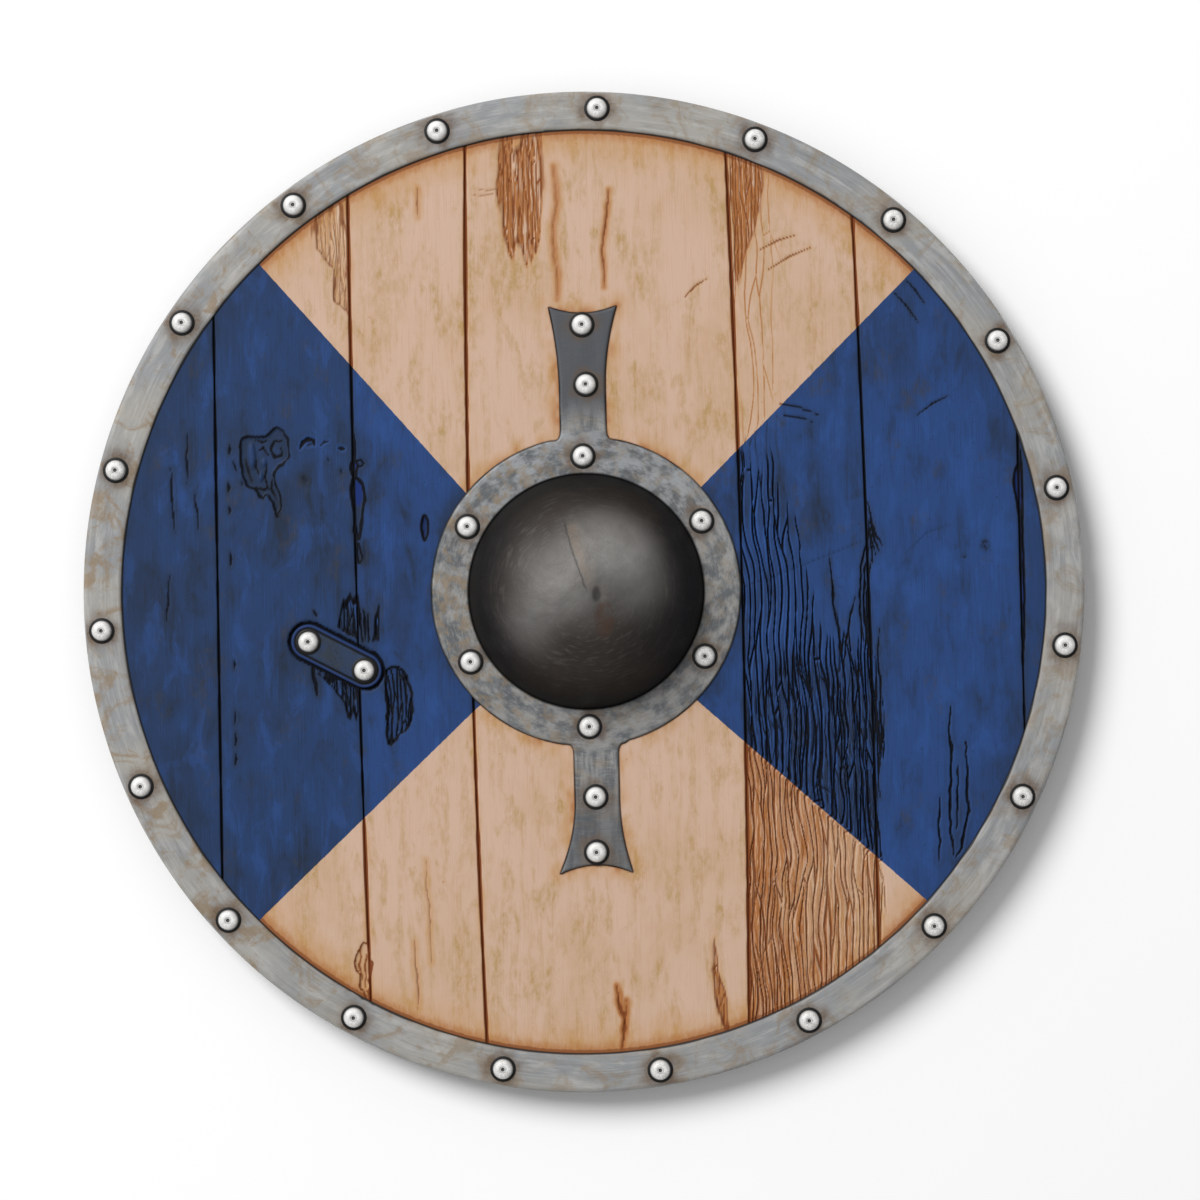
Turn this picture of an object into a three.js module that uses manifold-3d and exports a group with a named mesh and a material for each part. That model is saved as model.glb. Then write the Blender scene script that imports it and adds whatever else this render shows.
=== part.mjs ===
// A round shield of seven butted planks, with an iron rim channel, a raised boss over a hand hole,
// a boss plate with two fishtail arms, an inlaid repair plate, rivets, and three battens behind.
// Millimetres. The shield lies face up on its battens: +Z through the boss, +Y along the planks.

import * as THREE from 'three';
import { mergeVertices } from 'three/addons/utils/BufferGeometryUtils.js';
import Module from 'manifold-3d';

const wasm = await Module();
wasm.setup();

// ---- Driving dimensions -------------------------------------------------------------------

const RIM_RADIUS = 350;
const RIM_INNER_RADIUS = 323.3;
const RIM_BACK_RADIUS = 330;
const RIM_EDGE = 1.5;
const SHEET = 2;
const ROUND_STEPS = 64;

const BATTEN_THICK = 16;
const BOARD_THICK = 10;
const BACK = BATTEN_THICK;
const FACE = BACK + BOARD_THICK;
const FIT = 0.3;
const BOARD_RADIUS = RIM_RADIUS - SHEET - FIT;

// Each seam between two planks, as its x at the head, the middle and the foot of the shield.
const SEAM_REACH = 300;
const SEAMS = [
  [-253.4, -256, -258.5],
  [-158.3, -158.9, -155.6],
  [-76, -79.4, -75.7],
  [106.6, 110.7, 108.3],
  [192.9, 199, 200],
  [307.4, 305.6, 307.2],
];
const SEAM_STATIONS = [-355, 0, 355];
const SEAM_GROOVE = { half: 1.3, depth: 1.5 };

const BOSS = { x: 1.5, y: 0.4 };
const BOSS_STEPS = 32;
const PLATE_STEPS = 56;
const DOME_RADIUS = 81.7;
const DOME_RISE = 60;
const DOME_SHEET = 1.5;
const BRIM_RADIUS = 104;
const HAND_HOLE_RADIUS = 63;
const HAND_HOLE_STEPS = 16;
const PLATE_RADIUS = 107.6;
const PLATE_TOP = FACE + SHEET;

// The plate's arms: x of the axis at the neck and at the tips, half widths, y of the waist,
// of the tips, and the depth of the hollow between the tips.
const ARMS = [
  { neckX: 2.3, tipX: 3.7, neckHalf: 15.6, tipHalf: 23.4, waistY: 142, tipY: 199.3, hollow: 4.8 },
  { neckX: 5.8, tipX: 4.1, neckHalf: 15.1, tipHalf: 25.1, waistY: -146, tipY: -196.3, hollow: -5.8 },
];
const ARM_FILLET = { half: 5, length: 8 };
const ARM_LAP = 6;

const PATCH = { x: -174.1, y: -40.6, angle: -28.4, spacing: 43.9, half: 12, thick: 3.5 };
const PATCH_RECESS = { half: 16.5, depth: 2.5 };

const RIVET = { head: 7.8, flat: 4.9, rise: 4, shank: 2.5, peen: 4.6, peenRise: 1.8, steps: 9 };
const HOLE = { radius: 4, steps: 4 };
const RIM_RIVETS = { count: 19, radius: 338, start: 87.7, driftX: -0.75, driftY: -0.6 };
const BOSS_RIVETS = { count: 6, radius: 94.5, start: 90 };
const ARM_RIVETS = {
  arm_rivet_top_outer: { x: 3, y: 186.7 },
  arm_rivet_top_inner: { x: 4.7, y: 145, throughBatten: true },
  arm_rivet_bottom_inner: { x: 4.7, y: -143.3, throughBatten: true },
  arm_rivet_bottom_outer: { x: 4.4, y: -181.9 },
};
const COUNTERBORE = { radius: 7, depth: 5, steps: 12 };

// The middle batten is narrow, because it is the hand grip where it crosses the hand hole.
const BATTEN_END_RADIUS = 318;
const BATTEN_EDGE = 3;
const BATTENS = {
  upper_batten: { y: 150, half: 28 },
  lower_batten: { y: -147, half: 28 },
  grip_batten: { y: 0, half: 15 },
};

const COLOURS = {
  blue: 0x2b4c80,
  cream: 0xd1b096,
  rim: 0x96989a,
  plate: 0x747a80,
  dome: 0x33312f,
  rivet: 0xd8d4cc,
  bareWood: 0x8a6a4a,
};

// ---- Carved cuts and cracks in the boards --------------------------------------------------

// Each cut is a line of stations [x, y, half width, depth].
const CARVED_CUTS = {
  wormHoleBlob: [
    [-211, 123, 1, 0.5], [-212, 109, 9, 2.2], [-214, 93, 7, 2.2], [-215, 76, 4.5, 1.8], [-215, 57, 0.6, 0.4],
  ],
  wormHoleLoop: [
    [-212, 114, 3, 1.2], [-228, 114, 3.2, 1.8], [-238, 104, 3.8, 2], [-238, 88, 4.5, 2],
    [-229, 76, 5, 2], [-216, 71, 2.5, 1.2],
  ],
  wormPitUpper: [[-195, 110, 0.6, 0.5], [-191, 109, 3.4, 1.6], [-184, 108, 2.6, 1.2], [-178, 108, 0.5, 0.4]],
  ovalSlot: [[-110, 57, 0.5, 0.4], [-110, 51, 2.7, 1.8], [-110, 44, 2.7, 1.8], [-110.5, 38, 0.5, 0.4]],
  seamSplitLeft: [
    [-158.6, 104, 1.3, 1.5], [-157.5, 84, 4.2, 2.4], [-157, 62, 3, 2.2], [-158.2, 38, 4, 2.4],
    [-158.6, 16, 3, 2], [-158.8, 0, 6, 2], [-159, -14, 3, 1.5],
  ],
  featherGouge: [[-139, -50, 1.5, 0.6], [-133, -64, 6.5, 1.8], [-132, -84, 7.5, 1.8], [-138, -105, 1, 0.5]],
  chipBelowPatch: [[-166, -62, 2, 0.8], [-163, -72, 4.5, 1.6], [-161, -84, 1, 0.6]],
  chipAtHead: [[-170, 270, 1.5, 0.6], [-174, 252, 6, 1.4], [-169, 230, 7, 1.4], [-161, 206, 2, 0.8]],
  chipAtFoot: [[-160, -238, 1.3, 1], [-160.5, -252, 5, 1.8], [-159, -266, 4, 1.8], [-157, -284, 1.3, 1]],
  wornHead: [[-36, 323, 15, 1.2], [-37, 286, 15, 1.4], [-38, 261, 10, 1.4], [-35, 229, 0.8, 0.5]],
  wornStrip: [[121, 306, 13, 1.2], [121, 280, 12, 1.4], [118, 248, 8, 1.4], [113, 206, 1, 0.5]],
  headCrackLeft: [[-14, 300, 0.8, 0.8], [-13.4, 262, 1.5, 1.8], [-14.6, 235, 1.4, 1.6], [-13.9, 204, 0.6, 0.6]],
  headCrackRight: [[23.6, 283, 0.6, 0.6], [21.4, 259, 1.6, 1.8], [19.2, 234, 1.4, 1.6], [19.2, 211, 0.6, 0.6]],
  footCrackMiddle: [[15, -270, 0.6, 0.6], [19, -292, 2.6, 1.8], [21, -306, 2.2, 1.8], [19.4, -323, 1, 1]],
  footCrackRight: [[83.6, -238, 0.6, 0.6], [85, -262, 3, 1.8], [89, -284, 3.4, 1.8], [93, -309, 1.5, 1]],
  knotSplit: [
    [197, 66, 1.3, 1.2], [199.6, 46, 3.4, 2.4], [204, 30, 5.2, 2.6], [200, 14, 3.6, 2.4],
    [199.4, -8, 2.2, 2], [199.6, -40, 1.3, 1.5],
  ],
  rightCrackLong: [[252.8, -86, 0.6, 0.6], [253.6, -121, 1.6, 1.8], [252.4, -155, 1.7, 1.8], [253.4, -190, 0.6, 0.6]],
  rightCrackBranch: [[263, -110, 0.6, 0.6], [265, -142, 1.5, 1.6], [262, -164, 1.6, 1.6], [255, -184, 0.8, 0.8]],
  rightCrackShort: [[246.5, -150, 0.6, 0.6], [244.6, -172, 1.4, 1.5], [243.8, -196, 0.6, 0.6]],
  rightSlit: [[306, 92, 1.3, 1.4], [304.8, 76, 4.4, 2.4], [304.6, 56, 3.6, 2.2], [305.4, 36, 1.3, 1.4]],
};

// The weathered board's grain has opened in long wavering cracks, nearly parallel and tapering.
// Their heads and feet are staggered by a few steps.
const GRAIN_CRACKS = {
  count: 8, firstX: 119.5, spacing: 10, headY: 40, headStep: 23, footY: -286, footStep: 9,
  stations: 4, sway: 2.2, half: 1.7, depth: 2.2,
};

// ---- Helpers --------------------------------------------------------------------------------

const radians = (degrees) => (degrees * Math.PI) / 180;

// Merge the shared corners of a geometry and drop the triangles that close up on an axis.
function weld(geometry) {
  const bare = geometry.clone();
  bare.deleteAttribute('normal');
  bare.deleteAttribute('uv');
  const merged = mergeVertices(bare, 1e-3);
  const corners = Array.from(merged.index.array);
  const kept = [];
  for (let i = 0; i < corners.length; i += 3) {
    const [a, b, c] = corners.slice(i, i + 3);
    if (a !== b && b !== c && c !== a) kept.push(a, b, c);
  }
  merged.setIndex(kept);
  return merged;
}

function solid(geometry) {
  const merged = weld(geometry);
  return new wasm.Manifold(new wasm.Mesh({
    numProp: 3,
    vertProperties: new Float32Array(merged.attributes.position.array),
    triVerts: new Uint32Array(merged.index.array),
  }));
}

function geometryOf(manifold) {
  const mesh = manifold.getMesh();
  const geometry = new THREE.BufferGeometry();
  geometry.setAttribute('position', new THREE.BufferAttribute(new Float32Array(mesh.vertProperties), 3));
  geometry.setIndex(Array.from(mesh.triVerts));
  geometry.computeVertexNormals();
  return geometry;
}

// A round solid or ring about +Z, from [radius, height] points.
function turned(profile, steps) {
  const points = profile.map(([radius, height]) => new THREE.Vector2(radius, height));
  return new THREE.LatheGeometry(points, steps).rotateX(Math.PI / 2);
}

function disc(radius, bottom, top, steps) {
  const geometry = new THREE.CylinderGeometry(radius, radius, top - bottom, steps).rotateX(Math.PI / 2);
  return geometry.translate(0, 0, (bottom + top) / 2);
}

// A flat outline in x and y, raised from bottom to top.
function raised(shape, bottom, top, curveSegments = 6) {
  const settings = { depth: top - bottom, bevelEnabled: false, curveSegments };
  return new THREE.ExtrudeGeometry(shape, settings).translate(0, 0, bottom);
}

function outline(points) {
  return new THREE.Shape(points.map(([x, y]) => new THREE.Vector2(x, y)));
}

const without = (body, cutters) => cutters.reduce((left, cutter) => left.subtract(cutter), body);

const hole = ({ x, y }, bottom, top, radius = HOLE.radius, steps = HOLE.steps) =>
  solid(disc(radius, bottom, top, steps).translate(x, y, 0));

// A V-shaped cut in the boards' face along stations [x, y, half width, depth].
function carvedCut(stations) {
  const rise = 1;
  const corners = [];
  stations.forEach(([x, y, half, depth], i) => {
    const [fromX, fromY] = stations[Math.max(i - 1, 0)];
    const [toX, toY] = stations[Math.min(i + 1, stations.length - 1)];
    const run = Math.hypot(toX - fromX, toY - fromY);
    const reach = half * (1 + rise / depth);
    const acrossX = ((toY - fromY) / run) * reach;
    const acrossY = ((fromX - toX) / run) * reach;
    corners.push(x - acrossX, y - acrossY, FACE + rise);
    corners.push(x + acrossX, y + acrossY, FACE + rise);
    corners.push(x, y, FACE - depth);
  });
  const faces = [0, 2, 1];
  for (let i = 0; i < stations.length - 1; i += 1) {
    const [left, right, bottom, nextLeft, nextRight, nextBottom] = [0, 1, 2, 3, 4, 5].map((k) => 3 * i + k);
    faces.push(left, right, nextRight, left, nextRight, nextLeft);
    faces.push(bottom, nextBottom, nextRight, bottom, nextRight, right);
    faces.push(bottom, left, nextLeft, bottom, nextLeft, nextBottom);
  }
  const last = 3 * (stations.length - 1);
  faces.push(last, last + 1, last + 2);
  const geometry = new THREE.BufferGeometry();
  geometry.setAttribute('position', new THREE.Float32BufferAttribute(corners, 3));
  geometry.setIndex(faces);
  return geometry;
}

function seamX([head, middle, foot], y) {
  const t = y / SEAM_REACH;
  return middle + ((head - foot) / 2) * t + ((head + foot) / 2 - middle) * t * t;
}

// ---- Rivets ---------------------------------------------------------------------------------

// The rim's rivets were set out by hand: evenly, with a slight drift round the circle.
function rimRivetPlace(index) {
  const { count, radius, start, driftX, driftY } = RIM_RIVETS;
  const even = start - (360 / count) * index;
  const drift = driftX * Math.cos(radians(even)) + driftY * Math.sin(radians(even));
  const angle = radians(even + drift);
  return { x: radius * Math.cos(angle), y: radius * Math.sin(angle) };
}

function bossRivetPlace(index) {
  const angle = radians(BOSS_RIVETS.start + (360 / BOSS_RIVETS.count) * index);
  return { x: BOSS.x + BOSS_RIVETS.radius * Math.cos(angle), y: BOSS.y + BOSS_RIVETS.radius * Math.sin(angle) };
}

function patchRivetPlace(side) {
  const along = radians(PATCH.angle);
  const reach = (side * PATCH.spacing) / 2;
  return { x: PATCH.x + reach * Math.cos(along), y: PATCH.y + reach * Math.sin(along) };
}

// A bevelled head on a shank whose far end is hammered over a plain face.
function rivet({ x, y }, seat, peenSeat) {
  const profile = [
    [0, peenSeat - RIVET.peenRise],
    [RIVET.peen, peenSeat],
    [RIVET.shank, peenSeat],
    [RIVET.shank, seat],
    [RIVET.head, seat],
    [RIVET.flat, seat + RIVET.rise],
    [0, seat + RIVET.rise],
  ];
  return weld(turned(profile, RIVET.steps)).translate(x, y, 0);
}

const rimRivets = Array.from({ length: RIM_RIVETS.count }, (_, i) => rimRivetPlace(i));
const bossRivets = Array.from({ length: BOSS_RIVETS.count }, (_, i) => bossRivetPlace(i));
const patchRivets = [-1, 1].map(patchRivetPlace);
const armRivets = Object.values(ARM_RIVETS);
const allRivets = [...rimRivets, ...bossRivets, ...patchRivets, ...armRivets];

// ---- Boards ---------------------------------------------------------------------------------

function patchOutline(half) {
  const shape = new THREE.Shape();
  const end = PATCH.spacing / 2;
  shape.absarc(end, 0, half, -Math.PI / 2, Math.PI / 2, false);
  shape.absarc(-end, 0, half, Math.PI / 2, (3 * Math.PI) / 2, false);
  return shape;
}

const placeAtPatch = (geometry) => geometry.rotateZ(radians(PATCH.angle)).translate(PATCH.x, PATCH.y, 0);

function grainCrack(index) {
  const { firstX, spacing, headY, headStep, footY, footStep, stations, sway, half, depth } = GRAIN_CRACKS;
  const head = headY - headStep * ((index * 5) % 4);
  const foot = footY + footStep * ((index * 3) % 5);
  return Array.from({ length: stations }, (_, i) => {
    const t = i / (stations - 1);
    const y = head + (foot - head) * t;
    const x = firstX + spacing * index + sway * Math.sin(2.3 * index + 7 * t);
    const swell = 0.3 + Math.sin(Math.PI * (0.06 + 0.9 * t));
    return [x, y, half * swell, depth * Math.min(swell, 1)];
  });
}

function seamGroove(seam) {
  return SEAM_STATIONS.map((y) => [seamX(seam, y), y, SEAM_GROOVE.half, SEAM_GROOVE.depth]);
}

const boardCutters = [
  ...SEAMS.map(seamGroove),
  ...Object.values(CARVED_CUTS),
  ...Array.from({ length: GRAIN_CRACKS.count }, (_, i) => grainCrack(i)),
].map((stations) => solid(carvedCut(stations)));

boardCutters.push(
  solid(placeAtPatch(raised(patchOutline(PATCH_RECESS.half), FACE - PATCH_RECESS.depth, FACE + 1))),
  hole(BOSS, BACK - 1, FACE + 1, HAND_HOLE_RADIUS, HAND_HOLE_STEPS),
  hole(BOSS, FACE - DOME_SHEET, FACE + 1, BRIM_RADIUS + FIT, BOSS_STEPS),
  ...allRivets.map((place) => hole(place, BACK - 1, FACE + 1)),
);

const board = solid(disc(BOARD_RADIUS, BACK, FACE, ROUND_STEPS));

// The strip of board between two seams; the outermost ones run on past the edge.
function plank(index) {
  const past = RIM_RADIUS + 10;
  const leftX = (y) => (index === 0 ? -past : seamX(SEAMS[index - 1], y) + FIT / 2);
  const rightX = (y) => (index === SEAMS.length ? past : seamX(SEAMS[index], y) - FIT / 2);
  const left = SEAM_STATIONS.map((y) => [leftX(y), y]).reverse();
  const right = SEAM_STATIONS.map((y) => [rightX(y), y]);
  const strip = solid(raised(outline([...right, ...left]), BACK - 1, FACE + 1));
  return geometryOf(without(board.intersect(strip), boardCutters));
}

// ---- Iron work ------------------------------------------------------------------------------

// A channel folded over the boards' edge, with a wide front leg and a narrow back one.
function rim() {
  const wall = RIM_RADIUS - SHEET;
  const profile = [
    [RIM_INNER_RADIUS, FACE],
    [wall, FACE],
    [wall, BACK],
    [RIM_BACK_RADIUS, BACK],
    [RIM_BACK_RADIUS, BACK - SHEET],
    [RIM_RADIUS - RIM_EDGE, BACK - SHEET],
    [RIM_RADIUS, BACK - SHEET + RIM_EDGE],
    [RIM_RADIUS, FACE + SHEET - RIM_EDGE],
    [RIM_RADIUS - RIM_EDGE, FACE + SHEET],
    [RIM_INNER_RADIUS, FACE + SHEET],
    [RIM_INNER_RADIUS, FACE],
  ];
  const channel = solid(turned(profile, ROUND_STEPS));
  return geometryOf(without(channel, rimRivets.map((place) => hole(place, 0, FACE + 10))));
}

// An arm runs from the ring to its tips, filleted at the root, waisted, then flared like a tail.
function armOutline({ neckX, tipX, neckHalf, tipHalf, waistY, tipY, hollow }) {
  const out = Math.sign(tipY);
  const rootHalf = neckHalf + ARM_FILLET.half;
  const root = Math.sqrt(PLATE_RADIUS ** 2 - rootHalf ** 2) * out;
  const lap = root - ARM_LAP * out;
  const neck = root + ARM_FILLET.length * out;
  const flare = (waistY + tipY) / 2;
  const shape = new THREE.Shape();
  shape.moveTo(neckX - rootHalf, lap);
  shape.lineTo(neckX - rootHalf, root);
  shape.quadraticCurveTo(neckX - neckHalf, root, neckX - neckHalf, neck);
  shape.lineTo(neckX - neckHalf, waistY);
  shape.quadraticCurveTo(neckX - neckHalf, flare, tipX - tipHalf, tipY);
  shape.quadraticCurveTo(tipX, tipY - 2 * hollow, tipX + tipHalf, tipY);
  shape.quadraticCurveTo(neckX + neckHalf, flare, neckX + neckHalf, waistY);
  shape.lineTo(neckX + neckHalf, neck);
  shape.quadraticCurveTo(neckX + neckHalf, root, neckX + rootHalf, root);
  shape.lineTo(neckX + rootHalf, lap);
  return shape;
}

function bossPlate() {
  const ring = solid(disc(PLATE_RADIUS, FACE, PLATE_TOP, PLATE_STEPS).translate(BOSS.x, BOSS.y, 0));
  const arms = ARMS.map((arm) => solid(raised(armOutline(arm), FACE, PLATE_TOP, 5)));
  const whole = arms.reduce((joined, arm) => joined.add(arm), ring);
  return geometryOf(without(whole, [
    hole(BOSS, FACE - 1, PLATE_TOP + 1, DOME_RADIUS + FIT, BOSS_STEPS),
    ...[...bossRivets, ...armRivets].map((place) => hole(place, FACE - 1, PLATE_TOP + 1)),
  ]));
}

// A raised cap of sheet iron. Its brim lies in a rebate in the boards, under the plate.
function bossDome() {
  const sphere = (DOME_RADIUS ** 2 + DOME_RISE ** 2) / (2 * DOME_RISE);
  const centre = PLATE_TOP + DOME_RISE - sphere;
  const arc = (radius, floor, count) => {
    const foot = Math.asin((floor - centre) / radius);
    return Array.from({ length: count }, (_, i) => {
      const angle = foot + (Math.PI / 2 - foot) * (i / (count - 1));
      const out = i === count - 1 ? 0 : radius * Math.cos(angle);
      return [out, centre + radius * Math.sin(angle)];
    });
  };
  const brimBottom = FACE - DOME_SHEET;
  const profile = [
    ...arc(sphere - DOME_SHEET, brimBottom, 4).reverse(),
    [BRIM_RADIUS, brimBottom],
    [BRIM_RADIUS, FACE],
    [DOME_RADIUS, FACE],
    ...arc(sphere, PLATE_TOP, 8),
  ];
  const dome = solid(turned(profile, BOSS_STEPS).translate(BOSS.x, BOSS.y, 0));
  const holes = bossRivets.map((place) => hole(place, FACE - 5, PLATE_TOP));
  return geometryOf(without(dome, holes));
}

function patchPlate() {
  const bottom = FACE - PATCH_RECESS.depth;
  const plate = solid(placeAtPatch(raised(patchOutline(PATCH.half), bottom, bottom + PATCH.thick)));
  return geometryOf(without(plate, patchRivets.map((place) => hole(place, BACK, FACE + 10))));
}

// ---- Battens --------------------------------------------------------------------------------

const battenEnds = solid(disc(BATTEN_END_RADIUS, -1, BACK + 1, ROUND_STEPS));

// A bar across the planks, its lower edges eased, with counterbores for the rivets that pass it.
function crossBatten({ y, half }) {
  const section = outline([
    [y - half, BACK],
    [y - half, BATTEN_EDGE],
    [y - half + BATTEN_EDGE, 0],
    [y + half - BATTEN_EDGE, 0],
    [y + half, BATTEN_EDGE],
    [y + half, BACK],
  ]);
  const bar = raised(section, -BATTEN_END_RADIUS, BATTEN_END_RADIUS).rotateX(Math.PI / 2).rotateZ(Math.PI / 2);
  const passing = armRivets.filter((place) => place.throughBatten && Math.abs(place.y - y) < half);
  return geometryOf(without(solid(bar).intersect(battenEnds), passing.flatMap((place) => [
    hole(place, -1, BACK + 1),
    hole(place, -1, COUNTERBORE.depth, COUNTERBORE.radius, COUNTERBORE.steps),
  ])));
}

// ---- The shield -----------------------------------------------------------------------------

const group = new THREE.Group();

function place(name, geometry, color, roughness, metalness) {
  geometry.computeVertexNormals();
  const material = new THREE.MeshStandardMaterial({ color, roughness, metalness, flatShading: true });
  const mesh = new THREE.Mesh(geometry, material);
  mesh.name = name;
  group.add(mesh);
}

const placeRivet = (name, at, seat, peenSeat) =>
  place(name, rivet(at, seat, peenSeat), COLOURS.rivet, 0.3, 0.9);

const PAINTED_CREAM = [2, 3, 4];
for (let i = 0; i <= SEAMS.length; i += 1) {
  place(`plank_${i + 1}`, plank(i), PAINTED_CREAM.includes(i) ? COLOURS.cream : COLOURS.blue, 0.7, 0);
}

place('rim', rim(), COLOURS.rim, 0.45, 0.8);
place('boss_plate', bossPlate(), COLOURS.plate, 0.5, 0.7);
place('boss_dome', bossDome(), COLOURS.dome, 0.4, 0.8);
place('patch_plate', patchPlate(), COLOURS.blue, 0.6, 0.2);
Object.entries(BATTENS).forEach(([name, batten]) => {
  place(name, crossBatten(batten), COLOURS.bareWood, 0.8, 0);
});

rimRivets.forEach((at, i) => {
  placeRivet(`rim_rivet_${String(i + 1).padStart(2, '0')}`, at, FACE + SHEET, BACK - SHEET);
});
bossRivets.forEach((at, i) => placeRivet(`boss_rivet_${i + 1}`, at, PLATE_TOP, BACK));
patchRivets.forEach((at, i) => {
  placeRivet(`patch_rivet_${i + 1}`, at, FACE - PATCH_RECESS.depth + PATCH.thick, BACK);
});
Object.entries(ARM_RIVETS).forEach(([name, at]) => {
  placeRivet(name, at, PLATE_TOP, at.throughBatten ? COUNTERBORE.depth : BACK);
});

export default group;
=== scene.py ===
# The looks of a round shield: weathered planks, an iron rim, an armed boss plate, a domed boss,
# a repair plate, rivets and the battens behind. It lies face up on its battens.
# Shapes are worked out in millimetres in the frame's own axes, and meshes are made in metres.

import math

import bpy
import numpy as np
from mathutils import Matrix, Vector
from mathutils.geometry import delaunay_2d_cdt


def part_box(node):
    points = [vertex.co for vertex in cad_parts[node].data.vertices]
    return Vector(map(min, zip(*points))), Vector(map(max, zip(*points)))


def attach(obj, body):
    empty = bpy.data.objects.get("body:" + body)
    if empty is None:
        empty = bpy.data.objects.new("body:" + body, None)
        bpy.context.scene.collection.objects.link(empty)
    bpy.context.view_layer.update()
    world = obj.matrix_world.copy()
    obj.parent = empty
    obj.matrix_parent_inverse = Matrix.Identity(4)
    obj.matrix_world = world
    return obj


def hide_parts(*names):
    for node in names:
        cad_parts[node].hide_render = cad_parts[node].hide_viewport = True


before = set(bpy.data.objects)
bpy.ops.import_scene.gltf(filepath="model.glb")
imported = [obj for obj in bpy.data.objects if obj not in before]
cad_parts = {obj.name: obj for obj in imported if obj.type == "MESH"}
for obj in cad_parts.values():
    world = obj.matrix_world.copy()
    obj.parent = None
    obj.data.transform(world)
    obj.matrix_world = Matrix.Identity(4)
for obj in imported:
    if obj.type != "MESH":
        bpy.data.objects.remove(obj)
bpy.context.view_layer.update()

MM = 1000.0


# ---- Sizes from the frame -------------------------------------------------------------------

def span(node):
    """A node's lowest and highest corners, in millimetres."""
    low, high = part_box(node)
    return low * MM, high * MM


rim_low, rim_high = span("rim")
board_low, board_high = span("plank_4")
plate_low, plate_high = span("boss_plate")
dome_low, dome_high = span("boss_dome")

RIM_RADIUS = rim_high.x
RIM_TOP = rim_high.z
RIM_FOOT = rim_low.z
BACK = board_low.z
FACE = board_high.z
BOARD_RADIUS = board_high.y
PLATE_TOP = plate_high.z
PLATE_RADIUS = (plate_high.x - plate_low.x) / 2
BOSS = ((dome_low.x + dome_high.x) / 2, (dome_low.y + dome_high.y) / 2)
BRIM_RADIUS = (dome_high.x - dome_low.x) / 2
DOME_TOP = dome_high.z

RIM_INNER_RADIUS = 323.3
RIM_BACK_RADIUS = 330
SHEET = 2
FIT = 0.3
DOME_RADIUS = 81.7
DOME_SHEET = 1.5
HAND_HOLE_RADIUS = 62

SEAM_REACH = 300
SEAMS = [
    (-253.4, -256, -258.5),
    (-158.3, -158.9, -155.6),
    (-76, -79.4, -75.7),
    (106.6, 110.7, 108.3),
    (192.9, 199, 200),
    (307.4, 305.6, 307.2),
]
ARMS = [
    dict(neck_x=2.3, tip_x=3.7, neck=15.6, tip=23.4, waist_y=142, tip_y=199.3, hollow=4.8),
    dict(neck_x=5.8, tip_x=4.1, neck=15.1, tip=25.1, waist_y=-146, tip_y=-196.3, hollow=-5.8),
]
ARM_FILLET_HALF = 5
ARM_FILLET_LENGTH = 8
PATCH = dict(x=-174.1, y=-40.6, angle=-28.4, spacing=43.9)
PATCH_HALF = 12
PATCH_RECESS_HALF = 16.5
PATCH_RECESS_DEPTH = 2.5


def patch_place(x, y):
    """Distances along and aside from the repair plate's middle."""
    angle = math.radians(PATCH["angle"])
    along = (x - PATCH["x"]) * math.cos(angle) + (y - PATCH["y"]) * math.sin(angle)
    aside = (y - PATCH["y"]) * math.cos(angle) - (x - PATCH["x"]) * math.sin(angle)
    return along, aside
RIVET_HEAD = 7.8


# ---- Noise and numbers ----------------------------------------------------------------------

def lattice(i, j, seed):
    """A fixed value from -1 to 1 for each whole-number place."""
    wave = np.sin(i * 127.1 + j * 311.7 + seed * 74.7) * 43758.5453
    return (wave - np.floor(wave)) * 2 - 1


def noise(x, y, seed=0):
    """Smooth noise from -1 to 1 over the plane, the same at each run."""
    x, y = np.broadcast_arrays(np.asarray(x, float), np.asarray(y, float))
    i, j = np.floor(x), np.floor(y)
    u, v = x - i, y - j
    u = u * u * (3 - 2 * u)
    v = v * v * (3 - 2 * v)
    low = lattice(i, j, seed) * (1 - u) + lattice(i + 1, j, seed) * u
    high = lattice(i, j + 1, seed) * (1 - u) + lattice(i + 1, j + 1, seed) * u
    return low * (1 - v) + high * v


def bark(x, y, across, along, seed=0):
    """Distance from a net of long cracks round strands of this width and length."""
    u, v = np.broadcast_arrays(x / across, y / along)
    column = np.floor(u)
    near, next_near = ([np.full(u.shape, far) for far in (9.0, 9.0, 0.0)] for _ in range(2))
    for i in (column - 1, column, column + 1):
        up = v + 3 * lattice(i, 5, seed)
        for j in (np.floor(up) - 1, np.floor(up), np.floor(up) + 1):
            off_u = u - i - 0.5 - 0.42 * lattice(i, j, seed)
            off_v = up - j - 0.5 - 0.42 * lattice(i, j, seed + 7)
            strand = (np.hypot(off_u, off_v), off_u, off_v)
            closest = strand[0] < near[0]
            closer = strand[0] < next_near[0]
            next_near = [np.where(closest, a, np.where(closer, c, b)) for a, b, c in zip(near, next_near, strand)]
            near = [np.where(closest, c, a) for a, c in zip(near, strand)]
    lean_u, lean_v = (
        (next_near[k] / np.maximum(next_near[0], 1e-6) - near[k] / np.maximum(near[0], 1e-6)) / size
        for k, size in ((1, across), (2, along))
    )
    return (next_near[0] - near[0]) / np.maximum(np.hypot(lean_u, lean_v), 1e-6)


def ease(low, high, value):
    """0 at low, 1 at high, smooth between."""
    t = np.clip((np.asarray(value, float) - low) / (high - low), 0, 1)
    return t * t * (3 - 2 * t)


def seam_x(seam, y):
    head, middle, foot = seam
    t = y / SEAM_REACH
    return middle + (head - foot) / 2 * t + ((head + foot) / 2 - middle) * t * t


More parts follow.
